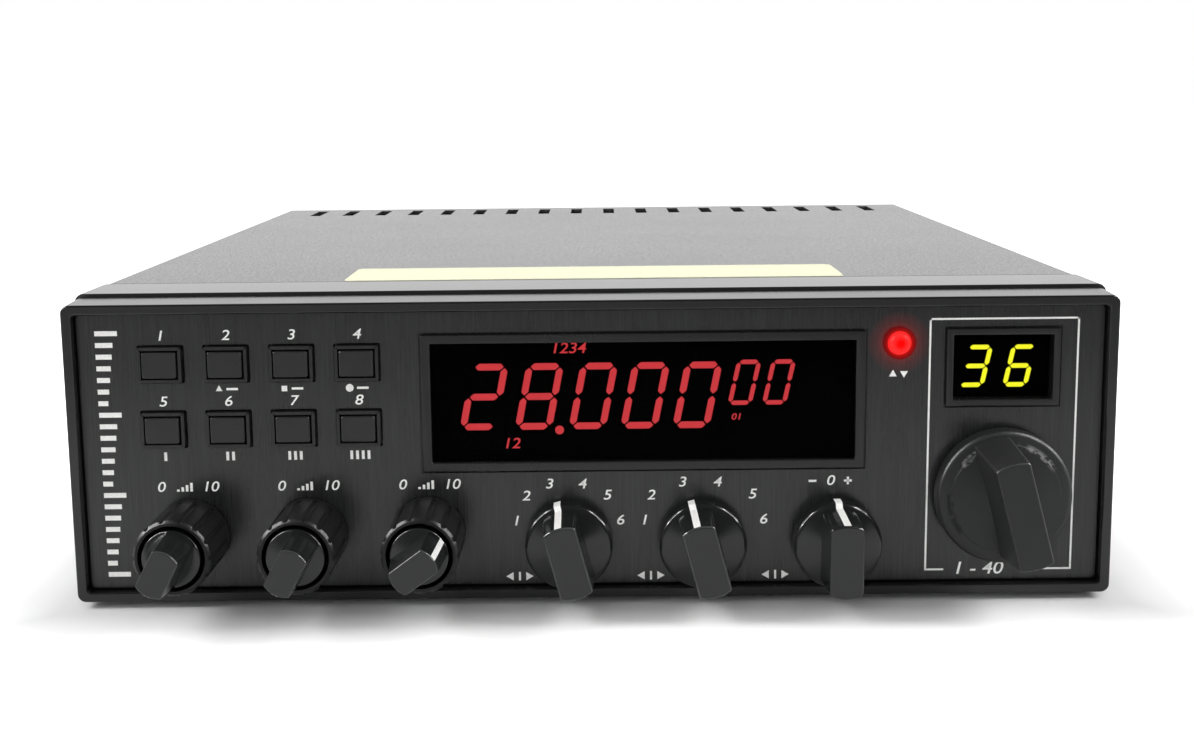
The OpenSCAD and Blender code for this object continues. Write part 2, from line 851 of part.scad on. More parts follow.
module power_transistors() {
    color("#202022") for (x = transistor_x) {
        translate([x - transistor_w / 2, rear_in_y - transistor_t, transistor_up])
            cube([transistor_w, transistor_t, transistor_h]);
        for (i = [-1:1])
            translate([x + i * lead_pitch - lead_w / 2, rear_in_y - transistor_t / 2, transistor_up])
                translate([0, 0, -lead_len]) cube([lead_w, lead_t, lead_len + over]);
    }
}

// Side fittings
module mount_inserts() {
    color("#b9bbbd") for (side = [-1, 1]) difference() {
        union() {
            rod_x(side, wall_in - mount_flange_t, wall_out, mount_y, mount_up, mount_neck_r);
            rod_x(side, wall_in - mount_flange_t, wall_in, mount_y, mount_up, mount_flange_r);
        }
        rod_x(side, wall_in - mount_flange_t - over, wall_out + over, mount_y, mount_up, mount_r);
    }
}

module mic_socket() {
    tip = cover_half + mic_out;
    color("#b9bbbd") {
        difference() {
            union() {
                rod_x(-1, wall_in - mic_flange_t, tip, mic_y, mic_up, mic_r);
                rod_x(-1, wall_in - mic_flange_t, wall_in, mic_y, mic_up, mic_flange_r);
                rod_x(-1, wall_in - mic_flange_t - mic_body_len, wall_in, mic_y, mic_up, mic_body_r);
                rod_x(-1, cover_half, cover_half + mic_nut_t, mic_y, mic_up, mic_nut_r, $fn = 6);
            }
            rod_x(-1, tip - mic_cavity, tip + over, mic_y, mic_up, mic_cavity_r);
        }
        for (a = [45:90:315])
            rod_x(-1, tip - mic_cavity - over, tip - mic_cavity + mic_pin_len,
                mic_y + mic_pin_circle * cos(a), mic_up + mic_pin_circle * sin(a), mic_pin_r);
    }
}

// Displays and lamp
module display_frame() {
    color("#1a1a1a") on_panel() difference() {
        union() {
            layer(0, frame_lip) display_outline(display_border);
            layer(web_back, frame_lip) display_outline(frame_wall);
        }
        layer(web_back - over, frame_lip + over) display_outline();
    }
}

module display_window() {
    color("#0a0a0a") on_panel() layer(panel_back, panel_back + window_t) display_outline(-window_fit);
}

module display_module() {
    color("#151515") on_panel() layer(board_p, panel_back) display_outline(-module_fit);
}

module channel_frame() {
    color("#1a1a1a") on_panel() difference() {
        union() {
            layer(0, frame_lip) channel_outline(channel_border);
            layer(web_back, frame_lip) channel_outline(frame_wall);
        }
        layer(web_back - over, frame_lip + over) channel_outline();
    }
}

module channel_window() {
    color("#0a0a0a") on_panel() layer(-channel_sunk - window_t, -channel_sunk) channel_outline(-window_fit);
}

module channel_module() {
    color("#151515") on_panel() layer(board_p, -channel_sunk - window_t) channel_outline(-module_fit);
}

module status_lamp() {
    color("#e02030") on_panel(lamp_x, lamp_z) {
        rod(-lamp_body, lamp_out - lamp_r, lamp_r);
        translate([0, 0, lamp_out - lamp_r]) intersection() {
            sphere(lamp_r);
            rod(0, lamp_r + over, lamp_r + over);
        }
        for (side = [-1, 1]) translate([side * lead_half, 0, 0]) rod(board_p, -lamp_body + over, lead_r);
    }
}

module lamp_holder() {
    color("#1a1a1a") on_panel(lamp_x, lamp_z) difference() {
        union() {
            rod(0, frame_lip, lamp_r + lamp_wall + lamp_flange);
            rod(web_back, frame_lip, lamp_r + lamp_wall);
        }
        rod(web_back - over, frame_lip + over, lamp_r + press_fit);
    }
}

// Boards
module key_switches() {
    color("#2f3236") on_panel() each_key() difference() {
        layer(board_p, board_p + key_switch_h) square(key_switch_w, center = true);
        rod(board_p + key_switch_h - key_bore_depth, board_p + key_switch_h + over, key_stem_r + loose_fit);
    }
}

module front_board() {
    color("#2f6b3c") on_panel() difference() {
        layer(board_back, board_p)
            translate([-front_board_half, front_board_low])
                square([2 * front_board_half, front_board_top - front_board_low]);
        translate([dial_x, dial_z, 0]) rod(board_back - over, board_p + over, control_size / 2 + 1);
        for (post = front_posts) translate(post) rod(board_back - over, board_p + over, small_hole_r);
    }
}

module main_board() {
    color("#2f6b3c") difference() {
        translate([-board_half, board_front_y, board_z])
            cube([2 * board_half, board_rear_y - board_front_y, board_t]);
        for (x = board_post_x, y = board_post_y)
            translate([x, y, 0]) rod(board_z - over, board_top + over, screw_hole);
    }
}

// Shield boxes, tuning cans, capacitors and a connector row on the main board
module board_components() {
    can_rows = 3;
    can_columns = 6;
    can_size = 8;
    can_pitch = 13;
    can_h = 11;
    can_start = 12;
    side_in = 16;
    shield = [52, 40, 13];
    shield_back = 8;
    front_shield_y = -55;
    capacitor_r = 6;
    capacitor_h = 15;
    capacitor_pitch = 16;
    capacitor_y = -30;
    connector = [60, 6, 8];
    connector_y = -60;
    color("#b4b6b8") translate([0, board_mid_y, board_top]) {
        for (i = [0:can_columns - 1], j = [0:can_rows - 1])
            translate([-board_half + side_in + i * can_pitch, can_start + j * can_pitch, 0])
                cube([can_size, can_size, can_h]);
        translate([board_half - side_in - shield[0], shield_back, 0]) cube(shield);
        translate([-shield[0] / 2, front_shield_y, 0]) cube(shield);
        for (i = [0:3]) translate([board_half - side_in - i * capacitor_pitch, capacitor_y, 0])
            rod(0, capacitor_h, capacitor_r);
        translate([-board_half + side_in, connector_y, 0]) cube(connector);
    }
}

// Speaker
module speaker_basket() {
    low = sheet_t;
    top = sheet_t + speaker_depth;
    magnet_low = top - speaker_magnet_h;
    neck_r = cone_in_r + 3;
    color("#55585b") translate([0, speaker_y, 0]) rotate_extrude() polygon([
        [speaker_r - speaker_roll, low],
        [speaker_r, low],
        [speaker_r, low + speaker_flange_t],
        [speaker_r - speaker_roll + speaker_shell, low + speaker_flange_t],
        [neck_r + speaker_shell, magnet_low],
        [speaker_magnet_r, magnet_low],
        [speaker_magnet_r, top],
        [0, top],
        [0, magnet_low + speaker_shell],
        [neck_r, magnet_low + speaker_shell],
        [neck_r, magnet_low],
        [speaker_r - speaker_roll, low + speaker_flange_t],
    ]);
}

module speaker_cone() {
    rim_z = sheet_t + speaker_flange_t / 2;
    neck_z = sheet_t + speaker_depth - speaker_magnet_h - 2;
    rim_r = speaker_r - speaker_roll;
    color("#1b1b1b") translate([0, speaker_y, 0]) rotate_extrude() polygon([
        [rim_r, rim_z - cone_t / 2],
        [rim_r, rim_z + cone_t / 2],
        [rim_r - 2, rim_z + cone_t / 2],
        [cone_in_r, neck_z],
        [0, neck_z],
        [0, neck_z - cone_t],
        [cone_in_r, neck_z - cone_t],
        [rim_r - 2, rim_z - cone_t / 2],
    ]);
}

// Bodies of the panel controls, each with its threaded bush
module dual_controls() {
    body_back = web_back - dual_depth;
    sleeve_end = web_back - dual_depth / 2;
    color("#4b4d50") for (x = dual_x) on_panel(x, dual_z) difference() {
        union() {
            layer(body_back, web_back) square(control_size, center = true);
            rod(web_back - over, bush_out, bush_r);
        }
        rod(sleeve_end, bush_out + over, sleeve_r + run_fit);
        rod(body_back + stop_wall, sleeve_end + over, thin_shaft_r + run_fit);
    }
}

module switch_body(shaft_room) {
    body_back = web_back - switch_depth;
    difference() {
        union() {
            rod(body_back, web_back, control_size / 2);
            rod(web_back - over, bush_out, bush_r);
        }
        rod(body_back + stop_wall + shaft_room, bush_out + over, shaft_r + run_fit);
    }
}

module selector_switches() {
    color("#4b4d50") {
        for (i = [0, 1]) on_panel(selector_x[i], row_z) switch_body(0);
        on_panel(dial_x, dial_z) switch_body(0);
    }
}

// The clarifier's body has a second, narrower bore for the push plunger
module clarifier_control() {
    color("#4b4d50") on_panel(selector_x[2], row_z) difference() {
        switch_body(plunger_room);
        rod(web_back - switch_depth + stop_wall - push_travel, web_back, plunger_r + run_fit);
    }
}

module clarifier_plunger() {
    color("#d8d8d2") on_panel(selector_x[2], row_z)
        rod(switch_shaft_end, clarifier_shaft_end - loose_fit, plunger_r);
}

module control_nuts() {
    color("#c4c6c8") on_panel() each_control() difference() {
        rod(0, nut_t, nut_corner, $fn = 6);
        rod(-over, nut_t + over, bush_r + press_fit);
    }
}

// Screws: the head stands on level 0, the shank runs down from it
module screw(r, length, head_r, head_t) {
    rod(-length, head_t / 2, r);
    rod(0, head_t, head_r);
}

module large_screw(length) {
    screw(screw_r, length, screw_head_r, screw_head_t);
}

module small_screw(length) {
    screw(small_screw_r, length, small_head_r, small_head_t);
}

module cover_screws() {
    color("#1f1f1f") for (side = [-1, 1], y = cover_screw_y, z = cover_screw_up)
        translate([side * cover_half, y, z]) rotate([0, side * 90, 0])
            large_screw(wall_t + sheet_t);
}

module machine_screws() {
    color("#b0b2b4") {
        for (x = board_post_x, y = board_post_y) translate([x, y, board_top])
            large_screw(board_lift + board_t);
        for (side = [-1, 1], z = rear_screw_z) translate([side * rear_screw_x, rear_out_y, z])
            rotate([-90, 0, 0]) large_screw(rear_screw_len);
        for (x = sink_screw_x, z = sink_screw_z) translate([x, rear_in_y, z])
            rotate([90, 0, 0]) large_screw(rear_t + sink_base - sink_skin - free_gap);
        for (sx = [-1, 1], sz = [-1, 1])
            translate([antenna_x + sx * antenna_screw_half, rear_out_y + antenna_flange_t,
                antenna_up + sz * antenna_screw_half])
                rotate([-90, 0, 0]) small_screw(rear_t + antenna_flange_t);
        for (post = front_posts) on_panel(post[0], post[1]) translate([0, 0, board_back])
            rotate([180, 0, 0]) small_screw(board_t + front_post_screw);
        for (side = [-1, 1], z = tongue_screw_z) translate([side * wall_in, tongue_screw_y, z])
            rotate([0, -side * 90, 0])
                small_screw(frame_w / 2 - frame_skin - free_gap - wall_in);
    }
}

// Shafts, with a flat where the knob grips
module flat_shaft(end, flat_start, front, r) {
    layer(flat_start, front) flatted(r, r * flat_share);
    rod(end, flat_start, r);
}

module selector_shaft(i) {
    color("#c4c6c8") on_panel(selector_x[i], row_z) rotate(selector_turn)
        flat_shaft(switch_shaft_end, bush_out, selector_shaft_front, shaft_r);
}

module clarifier_shaft() {
    color("#c4c6c8") on_panel(selector_x[2], row_z)
        flat_shaft(clarifier_shaft_end, bush_out + push_travel, selector_shaft_front + push_travel, shaft_r);
}

module channel_shaft() {
    color("#c4c6c8") on_panel(dial_x, dial_z) rotate(dial_turn)
        flat_shaft(switch_shaft_end, bush_out, dial_shaft_front, shaft_r);
}

module dual_shaft(i) {
    color("#c4c6c8") on_panel(dual_x[i], dual_z) rotate(-dual_angle[i])
        flat_shaft(thin_shaft_end, ring_face, thin_shaft_front, thin_shaft_r);
}

// Knobs
module finger_bar(root_r, tip_half, bar_w, low, high) {
    intersection() {
        translate([0, 0, low]) cylinder(h = high - low, r1 = root_r, r2 = tip_half);
        rotate([90, 0, 0]) linear_extrude(height = 2 * root_r, center = true) polygon([
            [-bar_w / 2 - bar_draft, low],
            [bar_w / 2 + bar_draft, low],
            [bar_w / 2, high],
            [-bar_w / 2, high],
        ]);
    }
}

// A skirt with a bevelled edge and a coned front, and a bar across it
module skirted_knob(skirt_r, bar_w, bar_len, cone, gap, front, shaft_front) {
    shoulder = gap + skirt_h;
    face_r = skirt_r - skirt_bevel;
    difference() {
        union() {
            rod(gap, shoulder, skirt_r);
            translate([0, 0, shoulder]) cylinder(h = skirt_bevel, r1 = skirt_r, r2 = face_r);
            translate([0, 0, shoulder + skirt_bevel]) cylinder(h = cone, r1 = face_r, r2 = bar_w / 2);
            finger_bar(face_r, bar_len / 2, bar_w, shoulder, front);
        }
        rod(gap - over, bush_out + nut_clear + gap - knob_gap, nut_corner + nut_clear);
        layer(gap, shaft_front + free_gap) flatted(shaft_r + press_fit, shaft_r * flat_share + press_fit);
    }
}

module selector_knob(i) {
    color("#2c2c2c") on_panel(selector_x[i], row_z) rotate(selector_turn)
        skirted_knob(selector_r, selector_bar_w, selector_bar_len, selector_cone, knob_gap,
            selector_out, selector_shaft_front);
}

module clarifier_knob() {
    color("#2c2c2c") on_panel(selector_x[2], row_z)
        skirted_knob(selector_r, selector_bar_w, selector_bar_len, selector_cone, push_gap,
            selector_out + push_travel, selector_shaft_front + push_travel);
}

module channel_knob() {
    color("#2c2c2c") on_panel(dial_x, dial_z) rotate(dial_turn)
        skirted_knob(dial_r, dial_bar_w, dial_bar_len, dial_cone, knob_gap,
            dial_out, dial_shaft_front);
}

// A fluted ring on a sleeve, open in front for the inner disc
module dual_ring(i) {
    sleeve_end = web_back - dual_depth / 2 + free_gap;
    color("#262626") on_panel(dual_x[i], dual_z) difference() {
        union() {
            difference() {
                union() {
                    rod(knob_gap, ring_out - ring_bevel, ring_r);
                    translate([0, 0, ring_out - ring_bevel])
                        cylinder(h = ring_bevel, r1 = ring_r, r2 = ring_r - ring_bevel);
                }
                for (f = [0:flute_count - 1]) rotate(f * 360 / flute_count)
                    translate([ring_r + flute_r - flute_depth, 0, 0])
                        rod(knob_gap + over, ring_out + over, flute_r);
                rod(knob_gap - over, ring_back_room, nut_corner + free_gap);
                rod(ring_face, ring_out + over, inner_r + ring_mouth);
            }
            rod(sleeve_end, ring_face, sleeve_r);
        }
        rod(sleeve_end - over, ring_face + over, thin_shaft_r + run_fit);
    }
}

module dual_knob(i) {
    color("#2c2c2c") on_panel(dual_x[i], dual_z) rotate(-dual_angle[i]) difference() {
        union() {
            rod(inner_back, inner_face, inner_r);
            translate([0, 0, inner_face]) cylinder(h = inner_cone, r1 = inner_r, r2 = inner_bar_w / 2);
            finger_bar(inner_r, inner_bar_len / 2, inner_bar_w, inner_face - over, inner_out);
        }
        layer(inner_back - over, thin_shaft_front + free_gap)
            flatted(thin_shaft_r + press_fit, thin_shaft_r * flat_share + press_fit);
    }
}

// Keys: a cap, a flange behind the web and a stem into the switch
module key_button(k) {
    flange_front = web_back - loose_fit;
    stem_end = board_p + key_switch_h - key_stem_in;
    color("#303030") on_panel() at_key(k) {
        layer(flange_front - key_flange_t, key_proud) key_outline();
        layer(flange_front - key_flange_t, flange_front)
            square([key_w + 2 * key_flange, key_h + 2 * key_flange], center = true);
        rod(stem_end, flange_front, key_stem_r);
    }
}

// Drawing
front_bezel();
front_panel();
front_frame();
top_cover();
bottom_cover();
chassis();
rear_panel();
heat_sink();
display_frame();
display_window();
display_module();
channel_frame();
channel_window();
channel_module();
status_lamp();
lamp_holder();
key_switches();
front_board();
main_board();
board_components();
power_transistors();
speaker_basket();
speaker_cone();
antenna_socket();
power_socket();
jack_sockets();
mic_socket();
dual_controls();
selector_switches();
clarifier_control();
control_nuts();
mount_inserts();
cover_screws();
machine_screws();
selector_knob(0);  // band_knob
selector_shaft(0);  // band_shaft
selector_knob(1);  // mode_knob
selector_shaft(1);  // mode_shaft
clarifier_plunger();
clarifier_knob();
clarifier_shaft();
channel_knob();
channel_shaft();
for (i = [0:2]) {
    dual_ring(i);
    dual_knob(i);
    dual_shaft(i);
}
for (k = [0:7]) key_button(k);
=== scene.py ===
"""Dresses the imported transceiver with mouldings, knobs, printing, lit displays and finishes."""

import math
from types import SimpleNamespace

import bpy
from mathutils import Matrix, Vector


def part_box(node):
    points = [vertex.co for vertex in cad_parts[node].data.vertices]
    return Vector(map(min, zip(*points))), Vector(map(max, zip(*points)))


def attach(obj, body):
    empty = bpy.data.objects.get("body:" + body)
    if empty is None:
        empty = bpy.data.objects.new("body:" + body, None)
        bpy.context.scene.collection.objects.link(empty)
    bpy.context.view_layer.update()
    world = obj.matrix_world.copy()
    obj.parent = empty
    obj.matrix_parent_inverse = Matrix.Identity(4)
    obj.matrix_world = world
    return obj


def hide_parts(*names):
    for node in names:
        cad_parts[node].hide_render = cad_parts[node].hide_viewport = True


bl_info = {
    "name": "Mobile transceiver",
    "version": (1, 0, 0),
    "blender": (4, 5, 0),
    "location": "3D View > Sidebar > Radio",
    "description": "Models and finishes the pieces of a mobile transceiver around its packed frame",
    "category": "Object",
}

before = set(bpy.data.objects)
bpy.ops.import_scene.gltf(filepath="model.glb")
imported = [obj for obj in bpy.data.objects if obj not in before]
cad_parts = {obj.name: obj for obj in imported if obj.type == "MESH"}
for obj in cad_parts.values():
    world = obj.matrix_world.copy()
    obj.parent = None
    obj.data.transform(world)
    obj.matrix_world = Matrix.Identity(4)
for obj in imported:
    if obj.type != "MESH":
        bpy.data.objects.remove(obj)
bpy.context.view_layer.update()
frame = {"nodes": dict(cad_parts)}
NODES = frame["nodes"]
ROOT = "radio"

# Lengths are millimetres in the part's frame; Blender holds metres
MM = 0.001
TINY = 0.01


def span(node):
    """Lowest and highest corner of a CAD node, in millimetres."""
    low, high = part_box(node)
    return low / MM, high / MM


def axis_of(node):
    """Where a turning piece's axis meets the panel, as X and Z."""
    low, high = span(node)
    middle = (low + high) / 2
    return middle.x, middle.z


PANEL_Y = span("front_panel")[0].y
RIM_Y = span("front_bezel")[0].y
CASE_LOW, CASE_HIGH = span("top_cover")
CASE_TOP = CASE_HIGH.z
BEZEL_LOW = span("front_bezel")[0].z
REAR_Y = span("rear_panel")[1].y

# Where the cover screws' axes lie, from the outsides of their heads
SCREW_HEAD_R = 2.7
SCREW_LOW, SCREW_HIGH = span("cover_screws")
SCREW_LOW += Vector((0, SCREW_HEAD_R, SCREW_HEAD_R))
SCREW_HIGH -= Vector((0, SCREW_HEAD_R, SCREW_HEAD_R))

DUALS = ("volume", "tone", "gain")
SHAFTS = [f"{name}_shaft" for name in (*DUALS, "band", "mode", "clarifier", "channel")]
KEYS = [f"key_{k}" for k in range(1, 9)]

# Width, height and corner of a key cap, and the gap round it
KEY_W, KEY_H, KEY_CORNER, KEY_GAP = 6.5, 5, 0.4, 0.3

# Corner of the panel and of its recess, and thickness of the antenna socket's flange
PANEL_CORNER, FLANGE_T = 0.8, 1.8


def levels(node):
    """How far a node's back and its front stand ahead of the panel's face."""
    low, high = span(node)
    return PANEL_Y - high.y, PANEL_Y - low.y


def radius_of(node):
    """Half of a round node's width."""
    low, high = span(node)
    return (high.x - low.x) / 2


# Values a user would change


def length(name, description, default):
    """A length property, given in millimetres and held in metres."""
    return bpy.props.FloatProperty(
        name=name, description=description, default=default * MM, min=0, unit="LENGTH"
    )


def linear(level):
    """One display level from 0 to 255 as a linear value."""
    share = level / 255
    return share / 12.92 if share <= 0.04045 else ((share + 0.055) / 1.055) ** 2.4


def colour(name, description, *channels):
    """A colour property, given as display levels from 0 to 255."""
    return bpy.props.FloatVectorProperty(
        name=name,
        description=description,
        default=[linear(level) for level in channels],
        min=0,
        max=1,
        size=3,
        subtype="COLOR",
    )


class RadioSizes(bpy.types.PropertyGroup):
    """Sizes of the modelled pieces that the frame doesn't give."""

    bezel_depth: length("Bezel depth", "From the rim to the groove behind the bezel", 11.2)
    bezel_r: length("Bezel corner", "Corner radius of the bezel", 1.6)
    bezel_draft: length("Bezel draft", "How far each side leans in towards the rim", 0.3)
    rim_w: length("Rim width", "Width of the rim around the panel", 2.2)
    rim_round: length("Rim rounding", "Rounding of the bezel's outer front edge", 0.35)
    rim_inner_round: length("Inner rim rounding", "Rounding of the rim's inner edge", 0.35)
    panel_t: length("Panel thickness", "Thickness of the panel", 1.5)
    web_t: length("Web thickness", "Thickness of the bezel's web behind the panel", 2.5)
    frame_r: length("Frame corner", "Corner radius of the front frame", 1.7)
    frame_round: length("Frame rounding", "Rounding of the front frame's edges", 0.12)
    cover_r: length("Cover bend", "Outer bend radius of the covers", 1.4)
    sheet_t: length("Cover sheet", "Thickness of the cover sheet", 1.2)
    sheet_round: length("Sheet rounding", "Rounding of the cover sheet's edges", 0.2)
    key_round: length("Key rounding", "Rounding of a key cap's front edge", 0.25)
    key_rim: length("Key rim", "Width of the rim around a key", 0.6)
    knob_round: length("Knob rounding", "Rounding of a knob bar's edges", 0.42)
    skirt_h: length("Skirt height", "Height of a knob's skirt up to its bevel", 3)
    skirt_bevel: length("Skirt bevel", "Bevel on a knob's skirt", 0.9)
    pointer_w: length("Pointer width", "Width of a knob's white pointer", 1.3)
    print_t: length("Print thickness", "Thickness of the printed ink", 0.03)
    label_t: length("Label thickness", "Thickness of the label strip", 0.12)


class RadioColours(bpy.types.PropertyGroup):
    """Main colours of the finishes."""

    bezel: colour("Bezel", "Moulded bezel", 26, 26, 27)
    panel_dark: colour("Panel streaks", "Darker streaks of the brushed panel", 24, 24, 25)
    panel_light: colour("Panel", "Lighter streaks of the brushed panel", 44, 45, 45)
    frame: colour("Front frame", "Smooth paint of the front frame", 44, 44, 45)
    cover: colour("Covers", "Textured paint of the covers", 52, 52, 52)
    knob: colour("Knobs", "Knobs and their skirts", 27, 28, 28)
    ring: colour("Rings", "Fluted rings", 22, 22, 23)
    key: colour("Keys", "Key caps", 26, 26, 27)
    ink: colour("Ink", "Printing and pointers", 250, 250, 247)
    red: colour("Main digits", "Lit segments of the main display", 216, 56, 62)
    yellow: colour("Channel digits", "Lit segments of the channel display", 250, 250, 38)
    lamp: colour("Lamp", "Status lamp", 249, 17, 17)
    label: colour("Label", "Label strip", 250, 249, 214)


def sizes(context):
    """The size properties as plain numbers of millimetres."""
    group = context.scene.radio_sizes
    return SimpleNamespace(
        **{name: getattr(group, name) / MM for name in RadioSizes.__annotations__}
    )


# Modelling


def deselect():
    bpy.ops.object.select_all(action="DESELECT")


def choose(*pieces):
    """Selects these pieces alone, the first one active."""
    deselect()
    for piece in pieces:
        piece.select_set(True)
    bpy.context.view_layer.objects.active = pieces[0]


def settle(name):
    """Names the new primitive and puts its place into its mesh."""
    piece = bpy.context.object
    piece.name = piece.data.name = name
    bpy.ops.object.transform_apply(location=True, rotation=True, scale=True)
    return piece


def start_box(name, low, high):
    deselect()
    middle = [(a + b) / 2 * MM for a, b in zip(low, high)]
    size = [(b - a) * MM for a, b in zip(low, high)]
    bpy.ops.mesh.primitive_cube_add(size=1, location=middle, scale=size)
    return settle(name)


def start_rod(name, start, end, radius, sides=64, tip=None, open_ends=False):
    """A round bar, or a taper where a tip radius is given, from one point to another."""
    deselect()
    start, end = Vector(start) * MM, Vector(end) * MM
    run = end - start
    bpy.ops.mesh.primitive_cone_add(
        vertices=sides,
        radius1=radius * MM,
        radius2=(radius if tip is None else tip) * MM,
        depth=run.length,
        end_fill_type="NOTHING" if open_ends else "NGON",
        location=(start + end) / 2,
        rotation=run.to_track_quat("Z", "Y").to_euler(),
    )
    return settle(name)


def front_box(name, place, width, height, low, high):
    """A box on the panel between two levels ahead of its face."""
    x, z = place
    return start_box(
        name,
        (x - width / 2, PANEL_Y - high, z - height / 2),
        (x + width / 2, PANEL_Y - low, z + height / 2),
    )


def front_rod(name, place, low, high, radius, sides=64, tip=None):
    """A round bar on the panel between two levels ahead of its face."""
    x, z = place
    return start_rod(name, (x, PANEL_Y - low, z), (x, PANEL_Y - high, z), radius, sides, tip)


def pick(piece, kind, test):
    """Enters edit mode with the faces or edges selected that pass a test of middle and way."""
    choose(piece)
    mesh = piece.data
    for group in (mesh.vertices, mesh.edges, mesh.polygons):
        group.foreach_set("select", [False] * len(group))
    if kind == "FACE":
        for face in mesh.polygons:
            face.select = bool(test(face.center / MM, face.normal))
        picked = {i for face in mesh.polygons if face.select for i in face.vertices}
        for edge in mesh.edges:
            edge.select = all(i in picked for i in edge.vertices)
    else:
        for edge in mesh.edges:
            a, b = (mesh.vertices[i].co / MM for i in edge.vertices)
            edge.select = bool(test((a + b) / 2, (b - a).normalized()))
        picked = {i for edge in mesh.edges if edge.select for i in edge.vertices}
    for i in picked:
        mesh.vertices[i].select = True
    bpy.context.tool_settings.mesh_select_mode = (False, kind == "EDGE", kind == "FACE")
    bpy.ops.object.mode_set(mode="EDIT")


def leave():
    bpy.ops.object.mode_set(mode="OBJECT")


def facing(axis, sign):
    """A test for faces that look along one axis."""
    return lambda middle, normal: normal[axis] * sign > 0.999


def running(axis):
    """A test for edges that run along one axis."""
    return lambda middle, run: abs(run[axis]) > 0.999


def in_plane(y):
    """A test for edges that lie in one plane across the Y axis."""
    return lambda middle, run: abs(middle.y - y) < TINY


def pick_all(piece):
    """Enters edit mode with everything selected."""
    choose(piece)
    bpy.ops.object.mode_set(mode="EDIT")
    bpy.ops.mesh.select_all(action="SELECT")


def round_edges(piece, test, radius, segments=4):
    pick(piece, "EDGE", test)
    bpy.ops.mesh.bevel(offset=radius * MM, segments=segments, affect="EDGES")
    leave()


def extrude(move=(0, 0, 0)):
    """Extrudes what is selected and moves it."""
    bpy.ops.mesh.extrude_region_move(TRANSFORM_OT_translate={"value": Vector(move) * MM})


def resize(centre, factors):
    """Scales what is selected about a centre."""
    bpy.ops.transform.resize(value=factors, center_override=Vector(centre) * MM)


def pierce(piece, axis, border):
    """Opens a frame: both end faces are inset and the inner faces are bridged."""
    pick(piece, "FACE", lambda middle, normal: abs(normal[axis]) > 0.999)
    bpy.ops.mesh.inset(thickness=border * MM)
    bpy.ops.mesh.bridge_edge_loops()
    leave()


def apply(piece, modifier):
    choose(piece)
    bpy.ops.object.modifier_apply(modifier=modifier.name)


def combine(piece, tool, operation):
    """Applies a boolean with another piece, which it uses up."""
    modifier = piece.modifiers.new(operation, "BOOLEAN")
    modifier.operation = operation
    modifier.solver = "EXACT"
    modifier.object = tool
    apply(piece, modifier)
    bpy.data.objects.remove(tool)


def soften(piece, width, segments=2, limit=35):
    """Rounds every edge sharper than the limit."""
    modifier = piece.modifiers.new("Rounding", "BEVEL")
    modifier.width = width * MM
    modifier.segments = segments
    modifier.limit_method = "ANGLE"
    modifier.angle_limit = math.radians(limit)
    apply(piece, modifier)


def join(name, pieces):
    choose(*pieces)
    if len(pieces) > 1:
        bpy.ops.object.join()
    piece = bpy.context.object
    piece.name = piece.data.name = name
    return piece


def shift(x, y, z):
    return Matrix.Translation(Vector((x, y, z)) * MM)


def turn_about(place, degrees):
    """A clockwise turn, seen from the front, about an axis that meets the panel at a place."""
    pivot = shift(place[0], 0, place[1])
    return pivot @ Matrix.Rotation(math.radians(degrees), 4, "Y") @ pivot.inverted()


def at_keys(first, prefix):
    """The first key's piece, and copies of it at the other keys."""
    x, z = axis_of(KEYS[0])
    pieces = [first]
    for number, key in enumerate(KEYS[1:], 2):
        key_x, key_z = axis_of(key)
        made = first.copy()
        made.data = first.data.copy()
        made.name = made.data.name = f"{prefix}_{number}"
        made.data.transform(shift(key_x - x, 0, key_z - z))
        bpy.context.scene.collection.objects.link(made)
        pieces.append(made)
    return pieces


def spread(count, pitch):
    """Evenly spaced places about 0."""
    return [(i - (count - 1) / 2) * pitch for i in range(count)]


def slots(places, width, ends, low, high):
    """A cutter for a row of slots through two heights; each one's ends along Y go by its X."""
    tools = []
    for x in places:
        near, far = ends(x)
        tools.append(start_box("slot", (x - width / 2, near, low), (x + width / 2, far, high)))
    return join("slots", tools)


def merged(piece):
    """Merges doubles and joins coplanar triangles."""
    pick_all(piece)
    bpy.ops.mesh.remove_doubles(threshold=1e-6)
    bpy.ops.mesh.dissolve_limited(angle_limit=math.radians(0.5))
    leave()
    return piece


def copy_of(node, name):
    """A merged copy of a CAD node's mesh, to be rounded and dressed."""
    made = bpy.data.objects.new(name, NODES[node].data.copy())
    made.data.name = name
    bpy.context.scene.collection.objects.link(made)
    return merged(made)


def dress(piece, finish, slot, *nodes, body=ROOT):
    """Shades and paints a finished piece, ties it to its body, and hides the nodes it stands for.
    """
    choose(piece)
    bpy.ops.object.shade_smooth_by_angle(angle=math.radians(32))
    normals = piece.modifiers.new("Normals", "WEIGHTED_NORMAL")
    normals.keep_sharp = True
    apply(piece, normals)
    piece.data.materials.clear()
    piece.data.materials.append(FINISHES[finish])
    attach(piece, body)
    if nodes:
        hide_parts(*nodes)
    return piece


def rounded(node, name, width, finish, slot, segments=2, body=ROOT):
    """A CAD node's own shape with rounded edges, dressed to stand for it."""
    piece = copy_of(node, name)
    soften(piece, width, segments)
    dress(piece, finish, slot, node, body=body)


def paint(node, finish):
    """Gives a CAD node that stays its finish."""
    mesh = NODES[node].data
    mesh.materials.clear()
    mesh.materials.append(FINISHES[finish])


# Shader nodes


